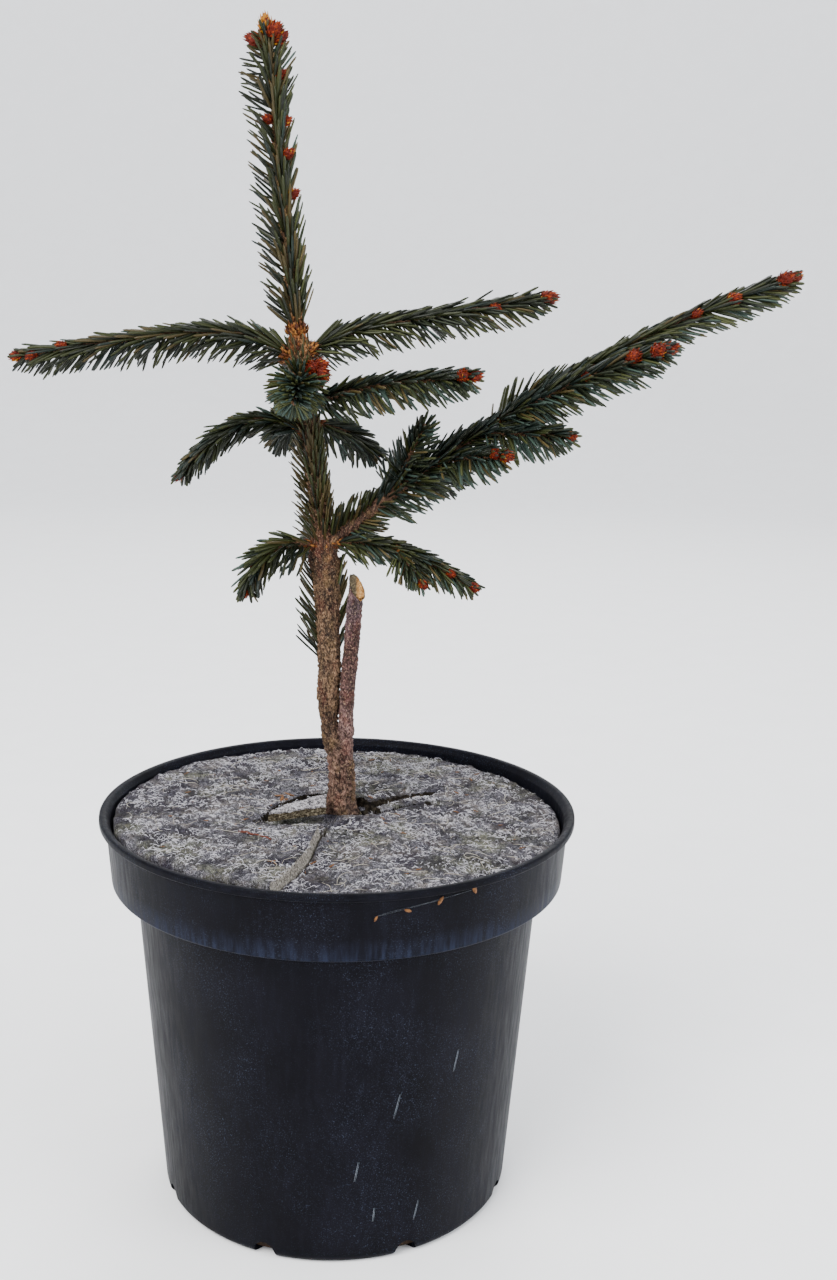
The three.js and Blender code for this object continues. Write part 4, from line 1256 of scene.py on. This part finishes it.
# %% Growing needles whorl by whorl
# Shares of deep, blue, olive and worn needles
kind_shares = {"trunk": (0.3, 0.05, 0.35, 0.3), "top": (0.45, 0.1, 0.35, 0.1), "middle": (0.6, 0.2, 0.17, 0.03),
               "low": (0.45, 0.15, 0.3, 0.1), "bough": (0.4, 0.4, 0.15, 0.05)}
peg_parts, needle_total = [], 0
for number, (whorl, names) in enumerate(whorls.items()):
    draw = np.random.default_rng(100 + number)
    dressed = [(name, plan) for name in names for plan in plans[name] if not plan["shoot"].get("bare")]
    placed = [place_needles(name, plan, draw, kind_shares[whorl]) for name, plan in dressed]
    foot, heading, length, lean, outward, slim, kind = stacked(placed)
    count = len(foot)
    width = needle["width"] * slim * draw.uniform(0.82, 1.15, count)
    thick = needle["thick"] * slim * draw.uniform(0.85, 1.1, count)
    bow = draw.normal(0.07, 0.035, count)
    points, faces, strip = spikes(foot, heading, length, width, thick, lean, bow, needle_profile)
    face_finish = spike_finishes(kind * 2, needle_profile)
    face_finish[: len(strip)] += strip >= 2
    piece = make_piece("needles_" + whorl, points, faces, needle_finishes, face_finish)
    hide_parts(*names)
    peg_heading = unit(heading + outward * 0.35)
    peg_sizes = [np.full(count, size) for size in (1.7, 1.05, 0.9)]
    pegs = spikes(foot - outward * 0.35, peg_heading, *peg_sizes, lean, np.zeros(count), [(0, 1.0), (0.6, 0.95)])
    peg_parts.append(pegs[:2])
    needle_total += count
print("needles:", needle_total)

# %% [markdown]
# ## Twigs
# Under the needles the twig is light brown and rough with pegs. A tube of ten sides is enough, because the
# pegs, one for each needle, make its relief.

# %% Twigs and pegs
twig_tones = [(0.3, "332114"), (0.5, "50382a"), (0.72, "745636")]
peg_tones = [(0.3, "432c18"), (0.7, "6a4a2a")]
twig_finish = grained("twig_bark", 0.75, 0.3, 0.9, twig_tones, 0.25, 0.8, detail=4, rough=0.65)
peg_finish = grained("needle_pegs", 0.7, 0.3, 2.5, peg_tones, 0.1, 0.5, detail=2)


def twig_tube(plan, draw):
    stem = plan["stem"]
    low = plan["low"] if "along_bough" in plan["shoot"] else 0
    along = np.arange(low, plan["high"] + 0.01, 1.0)
    wobble = 1 + draw.uniform(-0.07, 0.07, len(along))
    radius = plan["radius"](along) * wobble
    radius[-1] *= 0.6
    return strands(at(stem, along)[None], radius[None], sides=10)


draw = np.random.default_rng(7)
tubes = [twig_tube(plan, draw) for planned in plans.values() for plan in planned if not plan["sleeve"]]
twigs = make_piece("twigs", *join_up(tubes), [twig_finish])
pegs = make_piece("needle_pegs", *join_up(peg_parts), [peg_finish])

# %% [markdown]
# ## Buds
# In late winter a spruce bud is an egg of overlapping papery scales, orange-red, with a few loose pointed
# ones at its foot. A sculpted bud could be copied about, but they would all look alike. So each bud here is
# a plain egg under forty-six scales, set by the golden angle from the foot to the tip.

# %% Bud finishes
def scale_finish(name, dark, light):
    return grained(name, 0.6, 0.15, 0.8, [(0.3, dark), (0.7, light)], 0.12, 0.6, detail=3)


bud_finishes = [
    scale_finish("bud_scale_orange", "521a0a", "983c12"),
    scale_finish("bud_scale_red", "300c07", "651c0d"),
    scale_finish("bud_scale_pale", "7a4a10", "b07822"),
]
scale_profile = [(0.0, 0.8), (0.35, 1.0), (0.7, 0.5)]
scales_per_bud = 46


def bud_scales(foot, direction, length, draw):
    """Scales over an egg: foot, heading, length, width, thickness and lean of each"""
    count = scales_per_bud
    rank = (np.arange(count) + 0.5) / count
    turn = np.arange(count) * GOLDEN
    helper = np.array([0.2, 0.1, 1.0]) if abs(direction[2]) < 0.9 else np.array([1.0, 0.1, 0.1])
    across = unit(np.cross(direction, helper))
    through = np.cross(direction, across)
    outward = outward_at(across, through, turn)
    girth = length * 0.35 * np.sin(np.pi * np.clip(rank * 0.78 + 0.2, 0, 1)) ** 0.7
    spot = foot + direction * (length * 0.74 * rank)[:, None] + outward * (girth * 0.86)[:, None]
    loose = np.where(rank < 0.25, 1.1, 0.9 - 0.75 * rank)
    heading = unit(direction + outward * (loose + draw.normal(0, 0.12, count))[:, None])
    size = length * np.where(rank < 0.25, 0.28, 0.36) * draw.uniform(0.8, 1.25, count)
    return spot, heading, size, size * 0.52, np.full(count, 0.4), -outward


def egg(foot, direction, length):
    profile = [(0.02, 0.4), (0.15, 0.6), (0.38, 0.72), (0.62, 0.62), (0.8, 0.36)]
    across = unit(np.cross(direction, [0.3, 0.2, 1.0]))
    return one_spike(foot, direction, length, length, length, across, 0.0, profile, sides=8)


print("scales on each bud:", scales_per_bud)

# %% Growing the buds
draw = np.random.default_rng(21)
scale_sets = [bud_scales(foot, direction, length, draw) for foot, direction, length in bud_places]
spot, heading, size, wide, thin, lean = stacked(scale_sets)
points, faces, _ = spikes(spot, heading, size, wide, thin, lean, np.full(len(spot), 0.12), scale_profile)
kind = draw.choice(3, len(spot), p=(0.48, 0.47, 0.05))
# The first bud is the one on the leader's tip, which is golden
kind[:scales_per_bud] = 2
bud_shell = make_piece("bud_scales", points, faces, bud_finishes, spike_finishes(kind, scale_profile))
bud_cores = make_piece("bud_cores", *join_up([egg(*place) for place in bud_places]), [bud_finishes[1]])
print("buds:", len(bud_places))

# %% [markdown]
# ### Ruffs of old scales
# Where a shoot left its parent, last year's bud scales stay as a brown ruff. They hide the joint between
# twig and trunk, as they do on the real tree, so no extra blending is needed there. The top whorl's ruffs
# are the thickest, and the one on its left shoot sits a little way out along it.

# %% Ruffs of old scales
ruff_sets = []


def add_ruff(stem, middle, spread, radius, count, longest, flare):
    """Scales in a ruff round a stem: thickest in its middle"""
    along = middle + draw.uniform(-1, 1, count) * spread
    turn = np.arange(count) * GOLDEN
    tangent, side, under = directions(stem, along)
    outward = outward_at(side, under, turn)
    bulge = radius * (1 - 0.45 * ((along - middle) / spread) ** 2) * draw.uniform(0.75, 1.05, count)
    spot = at(stem, along) + outward * bulge[:, None]
    heading = unit(tangent + outward * draw.uniform(0.1, flare, count)[:, None])
    size = draw.uniform(0.6, 1.0, count) * longest
    foot = spot - heading * (size * 0.3)[:, None]
    ruff_sets.append((foot, heading, size, size * 0.55, np.full(count, 0.4), -outward))


for name, planned in plans.items():
    for plan in planned:
        if plan["sleeve"] or "along_bough" in plan["shoot"]:
            continue
        if name == "top_left_spray":
            add_ruff(plan["stem"], plan["low"] + 2.0, 3.4, 5.6, 130, 3.4, 1.2)
        radius, count = (4.0, 120) if name.startswith("top") else (2.6, 46)
        add_ruff(plan["stem"], plan["low"] - 0.3, 3.6, radius, count, 3.2, 0.9)
# Height, spread, radius, number of scales and flare of each ruff on the trunk
trunk_ruffs = [(411, 2.6, 5.4, 170, 1.0), (403, 5, 4.6, 110, 0.6), (394, 4, 4.6, 70, 0.6),
               (371, 3, 4.4, 50, 0.6), (311, 4, 6.4, 70, 0.6)]
for height, spread, radius, count, flare in trunk_ruffs:
    add_ruff(trunk, trunk_distance(height), spread, radius, count, 3.4, flare)
spot, heading, size, wide, thin, lean = stacked(ruff_sets)
points, faces, _ = spikes(spot, heading, size, wide, thin, lean, np.full(len(spot), 0.1), scale_profile)
kind = draw.choice(3, len(spot), p=(0.45, 0.3, 0.25))
ruff_finishes = [
    scale_finish("old_scales_brown", "36190b", "6e3c1a"),
    scale_finish("old_scales_dark", "27130a", "4c2818"),
    scale_finish("old_scales_gold", "5e3a1a", "9c6832"),
]
ruffs = make_piece("old_scale_ruffs", points, faces, ruff_finishes, spike_finishes(kind, scale_profile))

# %% [markdown]
# ## Small things
# A used pot carries traces: light scratches low on the wall, four brown husks caught under the lip with a
# few threads of web, crumbs of dry leaf and a reddish twig on the felt. They are small, but they give the
# eye the scale of everything else. They could be drawn into the finishes, but a flake or a thread that
# stands a little proud catches the light as a real one does, so each is a strand or a spike.

# %% Scratches
def on_wall(azimuth, height, proud=0.0):
    """A place on the pot's outer wall or collar"""
    low, high = pot_profile[2:4] if height < pot_profile[3][1] else pot_profile[4:6]
    radius = low[0] + (high[0] - low[0]) * (height - low[1]) / (high[1] - low[1]) + proud
    return level_way(azimuth) * radius + np.array([0, 0, height])


scuff_tones = [(0.35, "3f454d"), (0.65, "6d747c")]
scratch_finish = grained("scratched_plastic", 0.7, 0.3, 0.6, scuff_tones, 0.05, 0.4, detail=2)
scratch_taper = np.array([0.05, 0.14, 0.2, 0.22, 0.2, 0.14, 0.05])
# Azimuth and height of each scratch's two ends
scratch_ends = [((-54, 100.5), (-55.2, 89.5)), ((-72.1, 85.5), (-73.8, 73.4)), ((-83.6, 53.4), (-84.7, 43.1)),
                ((-78.5, 28.4), (-78.9, 21.1)), ((-64.4, 27.8), (-65.7, 17.6))]
paths, thickness = [], []
for (a, h), (b, k) in scratch_ends:
    for offset, share in ((0.0, 1), (0.35, 0.5)):
        paths.append([on_wall(a + (b - a) * t + offset, h + (k - h) * t) for t in np.linspace(0, 1, 7)])
        thickness.append(scratch_taper * share)
scratches = make_piece("pot_scratches", *strands(np.array(paths), np.array(thickness)), [scratch_finish])

# %% Husks and web
husk_finish = scale_finish("dry_husk", "3a2415", "7c5430")
# Azimuth, height, slant and length of each husk
husk_spots = [(-82.1, 178.0, 25, 2.9), (-73.9, 181.2, -70, 3.6), (-67.7, 182.4, 30, 4.4), (-58, 184.2, -25, 5.4)]
husk_parts = []
for azimuth, height, slant, size in husk_spots:
    outward = level_way(azimuth)
    around = np.cross([0, 0, 1], outward)
    direction = unit(np.array([0, 0, 1]) * math.cos(math.radians(slant)) + around * math.sin(math.radians(slant)))
    foot, width = on_wall(azimuth, height - 2, 0.35), size * 0.42
    profile = [(0, 0.3), (0.3, 1), (0.7, 0.9)]
    husk_parts.append(one_spike(foot, direction, size, width, 0.8, outward, 0.1, profile, sides=6))
web_paths, web_steps = [], np.linspace(0, 1, 9)
for first, second in ((0, 1), (1, 2), (2, 3), (0, 2), (1, 3)):
    (a, h, *_), (b, k, *_) = husk_spots[first], husk_spots[second]
    sag = draw.uniform(-1.2, 0.6)
    heights = h + (k - h) * web_steps + sag * np.sin(np.pi * web_steps)
    web_paths.append([on_wall(a + (b - a) * t, height, 0.25) for t, height in zip(web_steps, heights)])
husks = make_piece("husks_on_collar", *join_up(husk_parts), [husk_finish])
web_finish = grained("old_web", 0.6, 0.3, 3, [(0.3, "3c4046"), (0.7, "6a7076")], detail=2)
web_radius = np.full((len(web_paths), len(web_steps)), 0.045)
web = make_piece("web_threads", *strands(np.array(web_paths), web_radius), [web_finish])

# %% Litter on the felt
draw = np.random.default_rng(31)
crumb_parts = []
large_crumbs = [(-31.3, 18.3), (-24.8, 15.3), (-28, 10.9), (-22, 19)]
small_crumbs = [tuple(draw.uniform(-85, 85, 2)) for _ in range(70)]
for x, y in large_crumbs + small_crumbs:
    if math.hypot(x, y) > 98 or math.hypot(x - trunk_foot[0], y - trunk_foot[1]) < 13:
        continue
    turn = draw.uniform(0, 2 * math.pi)
    large = (x, y) in large_crumbs
    size = draw.uniform(4.5, 6.5) if large else draw.uniform(1.6, 4.2)
    heading = unit(np.array([math.cos(turn), math.sin(turn), draw.uniform(0.0, 0.2)]))
    foot = np.array([x, y, on_felt(x, y) + 0.3])
    width, lean = size * (0.55 if large else 0.35), [0.05, 0.03, 1.0]
    crumb_parts.append(one_spike(foot, heading, size, width, 0.5, lean, 0.12, [(0, 0.5), (0.35, 1), (0.75, 0.7)]))
litter = make_piece("leaf_crumbs", *join_up(crumb_parts), [husk_finish])
fallen_path = [(x, y, on_felt(x, y) + 0.5) for x, y in np.linspace((-45, -37), (-30, -50), 9)]
fallen_finish = scale_finish("fallen_twig", "3e1f17", "6b3a2c")
fallen_radius = np.linspace(0.6, 0.35, len(fallen_path))
fallen_tube = strands(np.array([fallen_path]), fallen_radius[None], sides=7)
fallen = make_piece("fallen_twig", *fallen_tube, [fallen_finish])

# %% [markdown]
# ## The studio
# A plain pale floor that curves up into a backdrop all round, so no view shows an edge. One big soft light
# above the camera's left shoulder stands for the open sky, a weaker one fills the right, and the pale
# surroundings do the rest.

# %% Floor and backdrop
floor_finish = grained("pale_floor", 0.85, 0.3, 40, [(0.3, "fafafb"), (0.7, "fdfdfe")], detail=3)
flat_reach, bend, wall_top, segments = 2600, 1400, 2600, 96
bowl = [(flat_reach, 0)]
for a in np.linspace(0.1, math.pi / 2, 12):
    bowl.append((flat_reach + bend * math.sin(a), bend - bend * math.cos(a)))
bowl.append((flat_reach + bend, wall_top))
angles = np.arange(segments) * 2 * np.pi / segments
points = [(0, 0, 0)] + [(out * math.cos(a), out * math.sin(a), height) for out, height in bowl for a in angles]
faces = [[0, 1 + k, 1 + (k + 1) % segments] for k in range(segments)]
for r in range(len(bowl) - 1):
    low, high = 1 + r * segments, 1 + (r + 1) * segments
    for k in range(segments):
        n = (k + 1) % segments
        faces.append([low + k, high + k, high + n, low + n])
mesh = bpy.data.meshes.new("floor")
mesh.from_pydata((np.array(points) * MM).tolist(), [], faces)
mesh.materials.append(floor_finish)
mesh.shade_smooth()
floor = bpy.data.objects.new("floor", mesh)
bpy.context.collection.objects.link(floor)
print("floor faces:", len(mesh.polygons))


# %% Lights
def soft_light(name, place, size, watts, tint=(1, 1, 1)):
    light = bpy.data.lights.new(name, "AREA")
    light.shape, light.size, light.energy, light.color = "DISK", size, watts, tint
    lamp = bpy.data.objects.new(name, light)
    lamp.location = place
    lamp.rotation_euler = (Vector((0, 0, 0.3)) - Vector(place)).to_track_quat("-Z", "Y").to_euler()
    bpy.context.collection.objects.link(lamp)


soft_light("sky_light", (-1.0, -1.3, 2.0), 1.6, 92, (1.0, 0.99, 0.97))
soft_light("fill_light", (1.6, -0.9, 1.1), 1.4, 32, (0.95, 0.97, 1.0))
soft_light("back_light", (0.3, 1.7, 1.9), 1.4, 30)
world = bpy.data.worlds.new("studio")
world.use_nodes = True
world.node_tree.nodes["Background"].inputs["Color"].default_value = (0.86, 0.89, 0.93, 1)
world.node_tree.nodes["Background"].inputs["Strength"].default_value = 1.3
bpy.context.scene.world = world
print("lights:", len(bpy.data.lights))
